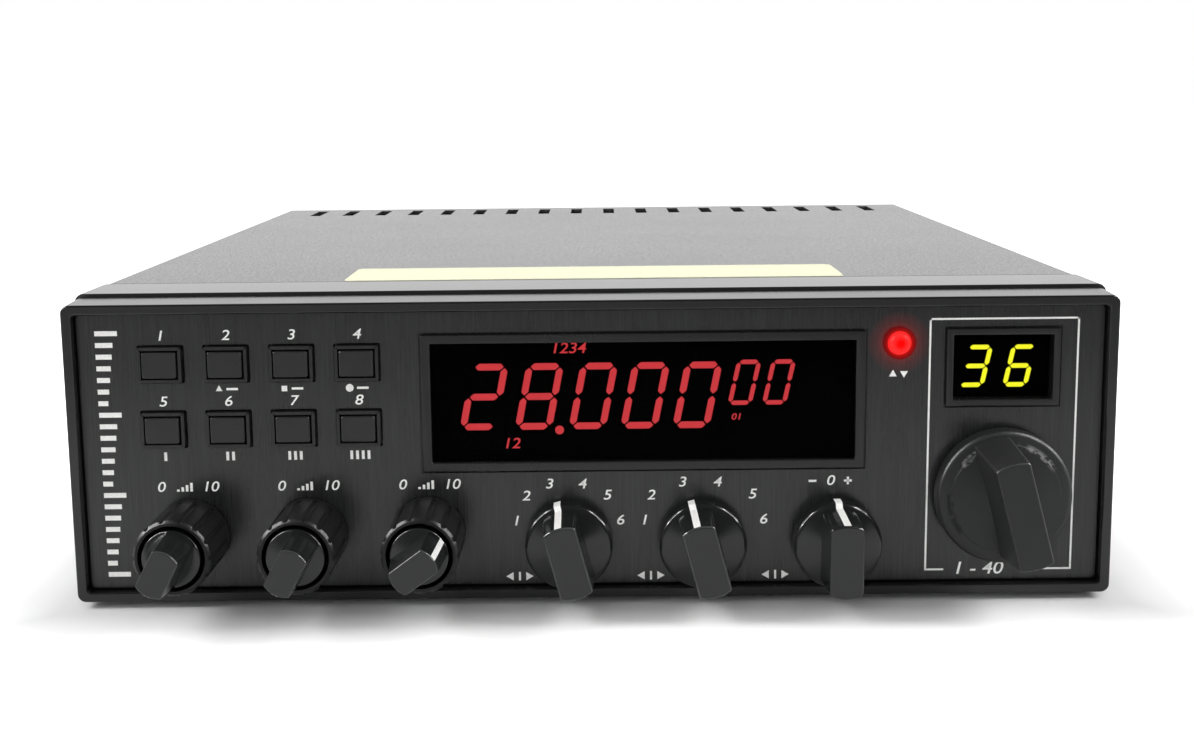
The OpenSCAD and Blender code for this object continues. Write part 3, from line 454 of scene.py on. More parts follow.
class Wire:
    """A number in a material: arithmetic on it adds Math nodes."""

    def __init__(self, sheet, socket):
        self.sheet, self.socket = sheet, socket

    def __add__(self, other):
        return self.sheet.math("ADD", self, other)

    def __sub__(self, other):
        return self.sheet.math("SUBTRACT", self, other)

    def __rsub__(self, other):
        return self.sheet.math("SUBTRACT", other, self)

    def __mul__(self, other):
        return self.sheet.math("MULTIPLY", self, other)

    def __pow__(self, other):
        return self.sheet.math("POWER", self, other)

    def __gt__(self, other):
        return self.sheet.math("GREATER_THAN", self, other)

    def __abs__(self):
        return self.sheet.math("ABSOLUTE", self, 0)

    __radd__ = __add__
    __rmul__ = __mul__


class Sheet:
    """The node tree of one material or of the world."""

    def __init__(self, owner):
        owner.use_nodes = True
        self.owner, self.tree = owner, owner.node_tree

    def feed(self, socket, value):
        if isinstance(value, Wire):
            self.tree.links.new(value.socket, socket)
        elif hasattr(value, "__len__") and len(value) == 3 and len(socket.default_value) == 4:
            socket.default_value = (*value, 1)
        else:
            socket.default_value = value

    def node(self, kind, settings=None, inputs=None, output=0):
        """Any node: its settings are set first, then the values or links of its sockets."""
        made = self.tree.nodes.new(kind)
        for name, value in (settings or {}).items():
            if name == "stops":
                ramp = made.color_ramp.elements
                while len(ramp) < len(value):
                    ramp.new(1)
                for stop, (place, level) in zip(ramp, value):
                    stop.position, stop.color = place, (level, level, level, 1)
            else:
                setattr(made, name, value)
        for name, value in (inputs or {}).items():
            self.feed(made.inputs[name], value)
        return Wire(self, made.outputs[output])

    def math(self, operation, a, b):
        return self.node("ShaderNodeMath", {"operation": operation}, {0: a, 1: b})

    def mix(self, factor, a, b):
        """Two colours mixed by a factor."""
        settings = {"data_type": "RGBA"}
        return self.node("ShaderNodeMix", settings, {0: factor, 6: a, 7: b}, 2)

    def places(self):
        return self.node("ShaderNodeTexCoord", output="Object")

    def axis(self, name):
        """One coordinate in millimetres."""
        parts = self.node("ShaderNodeSeparateXYZ", inputs={0: self.places()}, output=name)
        return parts * (1 / MM)

    def noise(self, grain, detail=3.0, stretch=(1, 1, 1), rough=0.55):
        """Noise with features of about one grain, drawn out where stretch is over 1."""
        scale = [1 / (grain * MM * s) for s in stretch]
        mapped = self.node("ShaderNodeMapping", inputs={"Vector": self.places(), "Scale": scale})
        inputs = {"Vector": mapped, "Scale": 1.0, "Detail": detail, "Roughness": rough}
        return self.node("ShaderNodeTexNoise", inputs=inputs)

    def ramp(self, value, *stops):
        return self.node("ShaderNodeValToRGB", {"stops": stops}, {0: value})

    def bump(self, height, depth, strength=1.0):
        """A bump of the given depth in millimetres."""
        inputs = {"Height": height, "Distance": depth * MM, "Strength": strength}
        return self.node("ShaderNodeBump", inputs=inputs)

    def offset(self, place, names="XZ"):
        """How far a point lies from a place along two axes."""
        return (self.axis(name) - start for name, start in zip(names, place))

    def distance(self, place, names="XZ"):
        """Distance in millimetres from an axis that runs through a place."""
        a, b = self.offset(place, names)
        return (a * a + b * b) ** 0.5

    def around(self, place):
        """The way round such an axis, clockwise from 0 below it through 0.5 above it to 1."""
        x, z = self.offset(place)
        return self.math("ARCTAN2", x, z) * (0.5 / math.pi) + 0.5

    def set(self, **sockets):
        """Feeds the main shader's sockets, named with _ for a space."""
        shader = self.tree.nodes["Principled BSDF"]
        for name, value in sockets.items():
            self.feed(shader.inputs[name.replace("_", " ")], value)
        return self.owner


def new_sheet(name):
    return Sheet(bpy.data.materials.new(name))


def tone(base, factor):
    """A colour made lighter or darker."""
    return [min(1.0, level * factor) for level in base]


def edge_band(sheet, level, band):
    """1 on a rounded edge that lies just behind a level ahead of the panel's face."""
    behind = sheet.axis("Y") - (PANEL_Y - level)
    return sheet.ramp(behind * (0.5 / band), (0.02, 0), (0.07, 1), (0.4, 1), (0.5, 0))


def moulded(name, base, rough=0.42, grain=0.35, depth=0.02, spread=0.18, edge=None, gloss=0.5):
    """Moulded plastic or paint: a fine grain, soft patches of colour and gloss, and, where an edge
    is given, rubbed edges painted paler, partly as wear and partly as a painted highlight.
    """
    sheet = new_sheet(name)
    patches = sheet.noise(14, 4)
    grains = sheet.noise(grain, 2)
    body = sheet.mix(patches * 0.7 + grains * 0.3, tone(base, 1 - spread), tone(base, 1 + spread))
    sheen = patches * 0.14 + grains * 0.08 + (rough - 0.11)
    if edge:
        level, band, wear_and_highlight = edge
        worn = sheet.ramp(sheet.noise(2.5, 4), (0.3, 0.5), (0.6, 1))
        rubbed_and_lit = edge_band(sheet, level, band) * worn
        # Painted highlight and wear: the rubbed edges are made up to six times paler in patches.
        body = sheet.mix(rubbed_and_lit * wear_and_highlight, body, tone(base, 6))
        sheen = sheen - rubbed_and_lit * 0.08
    return sheet.set(
        Base_Color=body,
        Roughness=sheen,
        Specular_IOR_Level=gloss,
        Normal=sheet.bump(grains, depth),
    )


def worn_dial(base, place):
    """Knob plastic with real nicks and dents round its skirt's step: the nicks are made pale only
    at both upper shoulders as a painted highlight, and the dents dark only at its left as painted
    shade.
    """
    step_r, skirt_front = 10.5, 5.9
    sheet = new_sheet("dial_plastic")
    patches, grains = sheet.noise(9, 4), sheet.noise(0.3, 2)
    around = sheet.around(place)
    on_skirt = sheet.axis("Y") > PANEL_Y - skirt_front
    near = (1 - sheet.ramp(abs(sheet.distance(place) - step_r), (0.3, 0), (0.75, 1))) * on_skirt
    # Upper-left and upper-right shoulders of the step, where light catches it: painted highlight.
    stops = [(0.33, 0), (0.36, 1), (0.43, 1), (0.45, 0.1)]
    stops += [(1 - way, level) for way, level in reversed(stops)]
    lit_shoulders = sheet.ramp(around, *stops)
    # The left of the step, where its wall is in shade: painted shade.
    left = sheet.ramp(around, (0.1, 0), (0.15, 1), (0.26, 1), (0.31, 0))
    nicks_and_highlight = near * lit_shoulders * sheet.ramp(sheet.noise(1.5, 5, rough=0.7), (0.49, 0), (0.54, 1))
    dents_and_shade = near * left * sheet.ramp(sheet.noise(1.8, 4, rough=0.6), (0.45, 0), (0.52, 1))
    body = sheet.mix(patches * 0.7 + grains * 0.3, tone(base, 0.8), tone(base, 1.25))
    # Painted highlight: the nicks are made pale only at the upper shoulders.
    body = sheet.mix(nicks_and_highlight * 0.8, body, (0.2, 0.2, 0.2))
    return sheet.set(
        # Painted shade: the dents are made dark only at the left.
        Base_Color=sheet.mix(dents_and_shade * 0.8, body, tone(base, 0.2)),
        Roughness=patches * 0.14 + nicks_and_highlight * 0.2 + dents_and_shade * 0.3 + 0.33,
        Specular_IOR_Level=0.4,
        Normal=sheet.bump(grains * 0.2 - nicks_and_highlight - dents_and_shade, 0.06),
    )


def metal(name, base, rough, grain=0.4, stretch=(1, 1, 1), depth=0.006):
    """Bare, plated or anodised metal with a drawn or blasted grain."""
    sheet = new_sheet(name)
    grains, patches = sheet.noise(grain, 3, stretch), sheet.noise(11, 3)
    return sheet.set(
        Base_Color=sheet.mix(grains * 0.6 + patches * 0.4, tone(base, 0.82), tone(base, 1.14)),
        Metallic=1.0,
        Roughness=grains * 0.16 + patches * 0.1 + (rough - 0.13),
        Normal=sheet.bump(grains, depth),
    )


def glowing(name, lit, strength, grain=1.2):
    """A lit segment: an even glow that varies a little in soft patches."""
    sheet = new_sheet(name)
    glow = sheet.mix(sheet.noise(grain, 2), tone(lit, 0.86), tone(lit, 1.1))
    return sheet.set(
        Base_Color=tone(lit, 0.3), Roughness=0.5, Emission_Color=glow, Emission_Strength=strength
    )


def lamp_halo(sheet, place):
    """The lamp's red glow on what stands round it, by distance."""
    far = sheet.ramp(sheet.distance(place) * 0.1, (0.22, 1), (0.31, 0.55), (0.42, 0.2), (0.62, 0))
    return sheet.mix(far, (0, 0, 0), (0.2, 0, 0))


def brushed_panel(colours):
    """Charcoal lacquered aluminium, brushed upright, with the lamp's red glow painted on it round
    the lamp.
    """
    sheet = new_sheet("brushed_panel")
    streaks = sheet.noise(0.22, 4, (1, 1, 60), 0.65)
    broad = sheet.noise(1.4, 3, (1, 1, 40))
    patches = sheet.noise(40, 3)
    mask = streaks * 0.55 + broad * 0.2 + patches * 0.25
    return sheet.set(
        Base_Color=sheet.mix(
            sheet.ramp(mask, (0.36, 0), (0.64, 1)), colours.panel_dark, colours.panel_light
        ),
        Roughness=streaks * 0.1 + patches * 0.08 + 0.13,
        # Painted red glow of the status lamp on the panel round it.
        Emission_Color=lamp_halo(sheet, axis_of("status_lamp")),
        Emission_Strength=1.0,
        Normal=sheet.bump(streaks, 0.008),
    )


def textured_paint(colours):
    """Black grained paint of the covers."""
    sheet = new_sheet("cover_paint")
    cells = sheet.noise(0.55, 4, rough=0.62)
    patches = sheet.noise(45, 4)
    pebbles = sheet.ramp(cells, (0.38, 0), (0.62, 1))
    return sheet.set(
        Base_Color=sheet.mix(
            patches * 0.3 + pebbles * 0.7, tone(colours.cover, 0.6), tone(colours.cover, 1.5)
        ),
        Roughness=patches * 0.05 + pebbles * 0.16 + 0.11,
        Normal=sheet.bump(pebbles, 0.03, 0.15),
    )


def smooth_paint(colours):
    """Smooth satin black paint of the front frame, with a slight orange peel."""
    sheet = new_sheet("frame_paint")
    peel, patches = sheet.noise(1.8, 2), sheet.noise(30, 4)
    return sheet.set(
        Base_Color=sheet.mix(patches, tone(colours.frame, 0.85), tone(colours.frame, 1.15)),
        Roughness=patches * 0.06 + peel * 0.03 + 0.09,
        Normal=sheet.bump(peel, 0.008),
    )


def smoked_window():
    """Smoked acrylic that the lit segments shine through."""
    sheet = new_sheet("smoked_window")
    smears = sheet.noise(9, 4, (1, 1, 2.5))
    return sheet.set(
        Base_Color=sheet.mix(smears, (0.0004, 0.0004, 0.0005), (0.0012, 0.0012, 0.0012)),
        Roughness=sheet.ramp(smears, (0.4, 0.05), (0.7, 0.11)),
        Specular_IOR_Level=0.02,
        Alpha=0.4,
    )


def printed_ink(colours):
    """Screen-printed ink, thin and a little uneven."""
    sheet = new_sheet("printed_ink")
    thin = sheet.noise(0.35, 4)
    return sheet.set(
        Base_Color=sheet.mix(
            sheet.ramp(thin, (0.3, 0), (0.5, 1)), tone(colours.ink, 0.8), colours.ink
        ),
        Roughness=thin * 0.2 + 0.45,
        Normal=sheet.bump(thin, 0.008),
    )


def label_film(colours):
    """Pale plastic label, slightly yellowed, a little darker in soft patches and along its fibres.
    """
    sheet = new_sheet("label_film")
    fibres, patches = sheet.noise(0.5, 3, (6, 1, 1)), sheet.noise(28, 4)
    return sheet.set(
        Base_Color=sheet.mix(patches * 0.6 + fibres * 0.4, tone(colours.label, 0.9), colours.label),
        Roughness=fibres * 0.12 + patches * 0.1 + 0.42,
        Normal=sheet.bump(fibres, 0.01),
    )


def lamp_lens(colours, place, radius):
    """Lit red lens, paler round the chip in its middle."""
    sheet = new_sheet("lamp_lens")
    rim = sheet.ramp(sheet.distance(place) * (1 / radius), (0.25, 0), (0.75, 1), (1, 0.6))
    swirl = sheet.noise(0.8, 2)
    return sheet.set(
        Base_Color=sheet.mix(swirl, tone(colours.lamp, 0.12), tone(colours.lamp, 0.2)),
        Roughness=swirl * 0.1 + 0.2,
        Specular_IOR_Level=0.05,
        Emission_Color=sheet.mix(rim, (0.95, 0, 0), (0.9, 0.035, 0.035)),
        Emission_Strength=0.95,
    )


def lit_bush(colours):
    """Black moulded bush of the lamp, with the lamp's red glow painted over all of it, brightest
    along its inner edge.
    """
    sheet = new_sheet("lamp_bush")
    grains = sheet.noise(0.3, 3)
    edge = sheet.ramp(sheet.distance(axis_of("status_lamp")) * 0.1, (0.23, 0), (0.3, 1))
    return sheet.set(
        Base_Color=sheet.mix(grains, tone(colours.bezel, 0.1), tone(colours.bezel, 0.2)),
        Roughness=grains * 0.15 + 0.4,
        Specular_IOR_Level=0.02,
        # Painted red glow of the lamp over the whole bush, brightest near its inner edge.
        Emission_Color=sheet.mix(edge, (0.42, 0.004, 0.004), (0.16, 0.004, 0.004)),
        Emission_Strength=1.0,
        Normal=sheet.bump(grains, 0.02),
    )


def circuit_board():
    """Green solder mask over copper traces."""
    sheet = new_sheet("circuit_board")
    bricks = {"Scale": 320.0, "Mortar Size": 0.03, "Vector": sheet.places()}
    traces = sheet.node("ShaderNodeTexBrick", inputs=bricks, output="Fac")
    weave = sheet.noise(0.5, 2)
    green, dark = (0.012, 0.085, 0.03), (0.006, 0.05, 0.018)
    return sheet.set(
        Base_Color=sheet.mix(traces, sheet.mix(weave, dark, green), (0.03, 0.16, 0.06)),
        Roughness=weave * 0.15 + 0.25,
        Normal=sheet.bump(traces, 0.03),
    )


def paper_cone(place):
    """Pressed paper with fine rings round the speaker's middle."""
    sheet = new_sheet("paper_cone")
    rings = sheet.math("SINE", sheet.distance(place, "XY") * 2.2, 0)
    fibres = sheet.noise(0.6, 4)
    return sheet.set(
        Base_Color=sheet.mix(fibres, (0.008, 0.008, 0.008), (0.025, 0.024, 0.022)),
        Roughness=fibres * 0.2 + 0.65,
        Normal=sheet.bump(rings * 0.5 + fibres, 0.08),
    )


FINISHES = {}


def make_finishes(colours):
    """All finishes by name."""
    nickel, steel = (0.62, 0.62, 0.63), (0.42, 0.42, 0.43)
    cone = sum(span("speaker_cone"), Vector()) / 2
    knob_edge, inner_edge = ((levels(f"{name}_knob")[1], 0.45) for name in ("band", "gain"))
    FINISHES.update(
        bezel=moulded("bezel_plastic", colours.bezel, 0.14, 0.4, 0.008),
        panel=brushed_panel(colours),
        frame=smooth_paint(colours),
        cover=textured_paint(colours),
        dial=worn_dial(colours.knob, axis_of("channel_shaft")),
        # The knobs' front edges are painted paler: partly wear, partly a painted highlight.
        knob=moulded("knob_plastic", colours.knob, 0.17, 0.3, 0.01, edge=(*knob_edge, 0.8)),
        inner=moulded("inner_plastic", colours.knob, 0.22, 0.3, edge=(*inner_edge, 1.0)),
        ring=moulded("ring_plastic", colours.ring, 0.34, 0.3, gloss=0.25),
        key=moulded("key_plastic", colours.key, 0.3, 0.25),
        rim=moulded("rim_plastic", colours.bezel, 0.3, 0.25),
        surround=moulded("surround_plastic", colours.bezel, 0.25, 0.3, gloss=0.45),
        window=smoked_window(),
        ink=printed_ink(colours),
        red=glowing("red_segments", colours.red, 1.25),
        yellow=glowing("yellow_segments", colours.yellow, 1.6, 0.8),
        lamp_bush=lit_bush(colours),
        lamp=lamp_lens(colours, axis_of("status_lamp"), radius_of("status_lamp")),
        label=label_film(colours),
        sink=metal("anodised_sink", (0.03, 0.03, 0.032), 0.42, 0.5, (1, 1, 40)),
        rear=moulded("rear_paint", (0.04, 0.04, 0.04), 0.4, 0.6),
        nickel=metal("nickel_plate", nickel, 0.26, 0.6),
        steel=metal("control_steel", steel, 0.38, 0.4, (1, 20, 1)),
        shaft=metal("turned_shaft", nickel, 0.3, 0.2, (12, 1, 12)),
        cast=metal("cast_chassis", (0.36, 0.36, 0.37), 0.5, 0.9, depth=0.03),
        black_screw=metal("black_screw", (0.03, 0.03, 0.03), 0.4, 0.4),
        socket=moulded("socket_plastic", (0.012, 0.012, 0.012), 0.38, 0.3),
        insulator=moulded("socket_insulator", (0.55, 0.53, 0.47), 0.45, 0.4, spread=0.08),
        module=moulded("display_module", (0.001, 0.001, 0.001), 0.6, 0.5, gloss=0.02),
        switch=moulded("switch_housing", (0.02, 0.021, 0.023), 0.45, 0.4),
        plunger=moulded("plunger_plastic", (0.6, 0.6, 0.56), 0.4, 0.4, spread=0.08),
        board=circuit_board(),
        component=moulded("component_tops", (0.16, 0.16, 0.17), 0.35, 1.5, 0.03, 0.5),
        transistor=moulded("transistor_body", (0.012, 0.012, 0.013), 0.5, 0.3),
        basket=metal("pressed_basket", (0.3, 0.3, 0.31), 0.45, 0.8),
        cone=paper_cone((cone.x, cone.y)),
    )


class RadioOperator(bpy.types.Operator):
    """Base of the radio's operators."""

    bl_options = {"REGISTER", "UNDO"}

    def execute(self, context):
        self.make(sizes(context), context.scene.radio_colours)
        return {"FINISHED"}


class RADIO_OT_stage(RadioOperator):
    """Camera, pale floor, white surround and soft lamps"""

    bl_idname = "radio.stage"
    bl_label = "Stage"

    def make(self, size, colours):
        scene = bpy.context.scene
        scene.view_settings.view_transform = "Standard"
        self.camera(scene)
        self.floor()
        self.world(scene)
        side_aim, front_aim = (0, -100, 30), (0, -80, 30)
        for side in (-1, 1):
            place = (side * 620, -160, 480)
            self.lamp("Side box", place, side_aim, 300, 2.9, "diffuse")
            self.lamp("Side glare", place, side_aim, 420, 24.0, "glossy")
        self.lamp("Front fill", (-260, -760, 170), front_aim, 500, 1.5, "diffuse")

    def camera(self, scene):
        """The photograph's own view: place, aim and lens were solved from the object's edges."""
        place = Vector((1.47, -434.49, 97.94)) * MM
        yaw, pitch, roll = (math.radians(a) for a in (0.023, 9.632, -0.586))
        aim = Vector(
            (math.sin(yaw) * math.cos(pitch), math.cos(yaw) * math.cos(pitch), -math.sin(pitch))
        )
        level = Vector((math.cos(yaw), -math.sin(yaw), 0))
        upright = level.cross(aim)
        right = level * math.cos(roll) + upright * math.sin(roll)
        up = upright * math.cos(roll) - level * math.sin(roll)
        data = bpy.data.cameras.new("Camera")
        data.sensor_width, data.lens, data.shift_x = 36, 51.0, -0.0021
        data.clip_start, data.clip_end = 0.01, 50
        camera = bpy.data.objects.new("Camera", data)
        scene.collection.objects.link(camera)
        turn = Matrix((right, up, -aim)).transposed()
        camera.matrix_world = Matrix.Translation(place) @ turn.to_4x4()
        scene.camera = camera

    def floor(self):
        side, drop = 14000, 0.4
        deselect()
        bpy.ops.mesh.primitive_plane_add(size=side * MM, location=(0, 0, -drop * MM))
        floor = settle("floor")
        sheet = new_sheet("pale_floor")
        speckle = sheet.noise(60, 3)
        beside = (abs(sheet.axis("X")) - CASE_HIGH.x) * MM
        ahead = (abs(sheet.axis("Y")) + RIM_Y) * MM
        gap = sheet.math("MAXIMUM", beside, ahead)
        away = sheet.ramp(gap, (0.003, 0), (0.015, 0.25), (0.035, 0.8), (0.06, 1))
        # Painted shade: the floor's colour falls from 0.85 to 0.4 between 140 and 300 mm ahead of
        # the front, for the light falling off there, which the panel and knobs mirror.
        near = 1 - sheet.ramp(ahead, (0.14, 0), (0.3, 1))
        glow = self.seen(sheet) * away
        sheet.set(
            Base_Color=sheet.mix(
                near,
                sheet.mix(speckle, (0.4, 0.4, 0.4), (0.43, 0.43, 0.43)),
                sheet.mix(speckle, (0.84, 0.84, 0.84), (0.87, 0.87, 0.87)),
            ),
            Roughness=0.7,
            Specular_IOR_Level=0.2,
            Emission_Color=sheet.mix(glow, (0, 0, 0), (1, 1, 1)),
            Emission_Strength=1.0,
        )
        floor.data.materials.append(sheet.owner)

    def ray(self, sheet, kind):
        return sheet.node("ShaderNodeLightPath", output=f"Is {kind} Ray")

    def seen(self, sheet):
        """1 for rays that show the surround itself, straight or through a window."""
        camera, through = (self.ray(sheet, kind) for kind in ("Camera", "Transmission"))
        return sheet.math("MAXIMUM", camera, through)

    def world(self, scene):
        scene.world = bpy.data.worlds.new("Surround")
        sheet = Sheet(scene.world)
        way = sheet.node("ShaderNodeTexCoord", output="Generated")
        depth = sheet.node("ShaderNodeSeparateXYZ", inputs={0: way}, output="Y")
        mirrored = self.ray(sheet, "Glossy")
        shade = mirrored * sheet.ramp(0.5 - depth * 0.5, (0.2, 0), (0.42, 0.9))
        shown = sheet.math("MAXIMUM", self.seen(sheet), mirrored)
        level = (shown * 0.52 + 0.48) * (1 - shade)
        background = sheet.tree.nodes["Background"]
        sheet.feed(background.inputs["Color"], sheet.mix(level, (0, 0, 0), (1, 1, 1)))

    def lamp(self, name, place, target, side, power, part):
        """A square softbox that lights either the diffuse or the glossy part of the finishes."""
        data = bpy.data.lights.new(name, "AREA")
        data.size, data.energy = side * MM, power
        lamp = bpy.data.objects.new(name, data)
        bpy.context.scene.collection.objects.link(lamp)
        lamp.location = Vector(place) * MM
        aim = Vector(target) - Vector(place)
        lamp.rotation_euler = aim.to_track_quat("-Z", "Y").to_euler()
        lamp.visible_camera = False
        lamp.visible_diffuse, lamp.visible_glossy = part == "diffuse", part == "glossy"


class RADIO_OT_finishes(RadioOperator):
    """Makes the finishes that the other operators use"""

    bl_idname = "radio.finishes"
    bl_label = "Finishes"

    def make(self, size, colours):
        make_finishes(colours)


def window_hole(node, name, low, high, grow):
    """A cutter for a display's hole."""
    corner, far = span(node)
    place = ((corner.x + far.x) / 2, (corner.z + far.z) / 2)
    width, height = far.x - corner.x + 2 * grow, far.z - corner.z + 2 * grow
    return front_box(name, place, width, height, low, high)


def panel_cutter(low, high, key_grow):
    """All the holes of the front in one cutter: displays, lamp, controls and keys."""
    window_fit, wall, fit, bush_r, lamp_wall = 0.1, 1.0, 0.1, 4.2, 0.5
    tools = [
        window_hole(f"{name}_window", name, low, high, window_fit + wall + fit)
        for name in ("display", "channel")
    ]
    lamp_r = radius_of("status_lamp") + lamp_wall + fit
    tools.append(front_rod("lamp", axis_of("status_lamp"), low, high, lamp_r))
    tools += [front_rod("bush", axis_of(shaft), low, high, bush_r + fit) for shaft in SHAFTS]
    for place in map(axis_of, KEYS):
        tool = front_box("key", place, KEY_W + 2 * key_grow, KEY_H + 2 * key_grow, low, high)
        round_edges(tool, running(1), KEY_CORNER)
        tools.append(tool)
    return join("cutter", tools)


class RADIO_OT_front(RadioOperator):
    """Bezel with its key rims, brushed panel and front frame"""

    bl_idname = "radio.front"
    bl_label = "Front moulding"

    def make(self, size, colours):
        self.bezel(size)
        self.key_rims(size)
        self.panel(size)
        self.frame(size)

    def bezel(self, size):
        low, high = span("front_bezel")
        back = RIM_Y + size.bezel_depth
        piece = start_box("bezel", low, (high.x, back, high.z))
        width, height, draft = high.x - low.x, high.z - low.z, 2 * size.bezel_draft
        pick(piece, "FACE", facing(1, -1))
        lean = (1 - draft / width, 1, 1 - draft / height)
        resize((low + high) / 2, lean)
        leave()
        round_edges(piece, running(1), size.bezel_r, 8)
        round_edges(piece, in_plane(RIM_Y), size.rim_round)
        web_back = size.panel_t + size.web_t
        inset = Vector((size.rim_w, 0, size.rim_w))
        for near, far in ((RIM_Y - 1, PANEL_Y + size.panel_t), (PANEL_Y + web_back, back + 1)):
            tool = start_box("hollow", low + inset, high - inset)
            for vertex in tool.data.vertices:
                vertex.co.y = (near if vertex.co.y / MM < (low.y + high.y) / 2 else far) * MM
            round_edges(tool, running(1), PANEL_CORNER)
            combine(piece, tool, "DIFFERENCE")
        reach_x, reach_z = high.x - size.rim_w + TINY, (high.z - low.z) / 2 - size.rim_w + TINY
        middle_z = (low.z + high.z) / 2
        front = in_plane(RIM_Y)
        round_edges(
            piece,
            lambda middle, run: front(middle, run)
            and abs(middle.x) < reach_x
            and abs(middle.z - middle_z) < reach_z,
            size.rim_inner_round,
            3,
        )
        combine(piece, panel_cutter(-web_back - 1, 1, KEY_GAP), "DIFFERENCE")
        dress(piece, "bezel", "bezel_plastic", "front_bezel")

    def key_rims(self, size):
        """Raised rims through the panel, one round each key."""
        grow = KEY_GAP + size.key_rim
        back, proud, softness = -2.75, 1.4, 0.1
        width, height = KEY_W + 2 * grow, KEY_H + 2 * grow
        rim = front_box("key_rim_1", axis_of(KEYS[0]), width, height, back, proud)
        round_edges(rim, running(1), KEY_CORNER)
        pierce(rim, 1, size.key_rim)
        soften(rim, softness)
        for piece in at_keys(rim, "key_rim"):
            dress(piece, "rim", "bezel_plastic")

    def panel(self, size):
        low, high = span("front_panel")
        piece = start_box("panel", low, high)
        rim_fit = 0.3
        round_edges(piece, running(1), PANEL_CORNER)
        grow = KEY_GAP + size.key_rim + rim_fit
        combine(piece, panel_cutter(-size.panel_t - 1, 1, grow), "DIFFERENCE")
        for node in ("display_frame", "channel_frame"):
            combine(piece, self.shadow_line(node), "DIFFERENCE")
        dress(piece, "panel", "panel_metal", "front_panel")

    def shadow_line(self, node):
        """A cutter for the groove round a display's surround."""
        width, under, depth = 0.35, 0.25, 0.6
        tool = window_hole(node, "groove", -depth, 1, width)
        pierce(tool, 1, width + under)
        return tool

    def frame(self, size):
        low, high = span("front_frame")
        groove, lip_t = 0.3, 0.8
        front_y = RIM_Y + size.bezel_depth + groove
        piece = start_box("frame", (low.x, front_y, low.z), high)
        round_edges(piece, running(1), size.frame_r, 8)
        soften(piece, size.frame_round, 3)
        opening_w, opening_h, middle = 193.7, 52.1, (low.z + high.z) / 2
        for grow, near, far, operation in (
            (lip_t, low.y, front_y + 1, "UNION"),
            (0, low.y - 1, high.y + 1, "DIFFERENCE"),
        ):
            half_w, half_h = opening_w / 2 + grow, opening_h / 2 + grow
            tool = start_box(
                "lip", (-half_w, near, middle - half_h), (half_w, far, middle + half_h)
            )
            combine(piece, tool, operation)
        dress(piece, "frame", "frame_paint", "front_frame")


class RADIO_OT_covers(RadioOperator):
    """Bent steel covers with their vents, grille and screw holes"""

    bl_idname = "radio.covers"
    bl_label = "Covers"

    def make(self, size, colours):
        self.cover("top", size, 1, self.vents)
        self.cover("bottom", size, -1, self.grille)

    def cover(self, name, size, up, openings):
        node = f"{name}_cover"
        piece = self.shell(f"{name}_shell", node, size, up)
        for tool in (openings(), self.side_holes(node)):
            combine(piece, tool, "DIFFERENCE")
        soften(piece, size.sheet_round)
        dress(piece, "cover", "cover_paint", node)

    def shell(self, name, node, size, up):
        """A bent sheet, open at its ends and on the seam's side."""
        low, high = span(node)
        piece = start_box(name, low, high)
        edge_z = high.z if up > 0 else low.z
        round_edges(
            piece,
            lambda middle, run: running(1)(middle, run) and abs(middle.z - edge_z) < TINY,
            size.cover_r,
            8,
        )
        seam = facing(2, -up)
        pick(piece, "FACE", lambda middle, way: abs(way.y) > 0.999 or seam(middle, way))
        bpy.ops.mesh.delete(type="FACE")
        leave()
        wall = piece.modifiers.new("Sheet", "SOLIDIFY")
        wall.thickness, wall.offset = size.sheet_t * MM, -1
        wall.use_even_offset = True
        apply(piece, wall)
        return piece

    def vents(self):
        """The row of slots along the rear of the top."""
        count, inset, width, run, gap = 18, 12.6, 3.3, 19, 6.7
        pitch = (CASE_HIGH.x - CASE_LOW.x - 2 * inset) / (count - 1)
        rear = CASE_HIGH.y - gap
        ends = rear - run, rear
        return slots(spread(count, pitch), width, lambda x: ends, CASE_TOP - 3, CASE_TOP + 1)

    def grille(self):
        """The slots under the speaker."""
        count, pitch, width, radius, middle = 9, 6.4, 3, 32.5, -48

        def ends(x):
            half = math.sqrt(radius**2 - x**2)
            return middle - half, middle + half

        return slots(spread(count, pitch), width, ends, -1, 3)

    def side_holes(self, node):
        """Screw holes on both sides, and the top cover's bracket and microphone holes."""
        screw_r, bracket_r, bracket_z, mic_r = 1.7, 3.2, 42, 8.15
        top = node == "top_cover"
        up = SCREW_HIGH.z if top else SCREW_LOW.z
        holes = []
        for side in (-1, 1):
            holes += [(side, y, up, screw_r, 24) for y in (SCREW_LOW.y, SCREW_HIGH.y)]
            if top:
                holes.append((side, 0, bracket_z, bracket_r, 40))
        if top:
            mic = sum(span("mic_socket"), Vector()) / 2
            holes.append((-1, mic.y, mic.z, mic_r, 48))
        wall = span(node)[1].x
        inner, outer = wall - 4, wall + 3
        tools = [
            start_rod("hole", (side * inner, y, z), (side * outer, y, z), radius, sides)
            for side, y, z, radius, sides in holes
        ]
        return join("holes", tools)


class RADIO_OT_label(RadioOperator):
    """Blank label strip on the top cover"""

    bl_idname = "radio.label"
    bl_label = "Label"

    def make(self, size, colours):
        left, right, seam_gap, rear, corner = -50.5, 51.9, 0.6, 52.2, 1.6
        low = (left, CASE_LOW.y + seam_gap, CASE_TOP)
        piece = start_box("label", low, (right, RIM_Y + rear, CASE_TOP + size.label_t))
        round_edges(piece, running(2), corner, 5)
        soften(piece, 0.03)
        dress(piece, "label", "cover_paint")


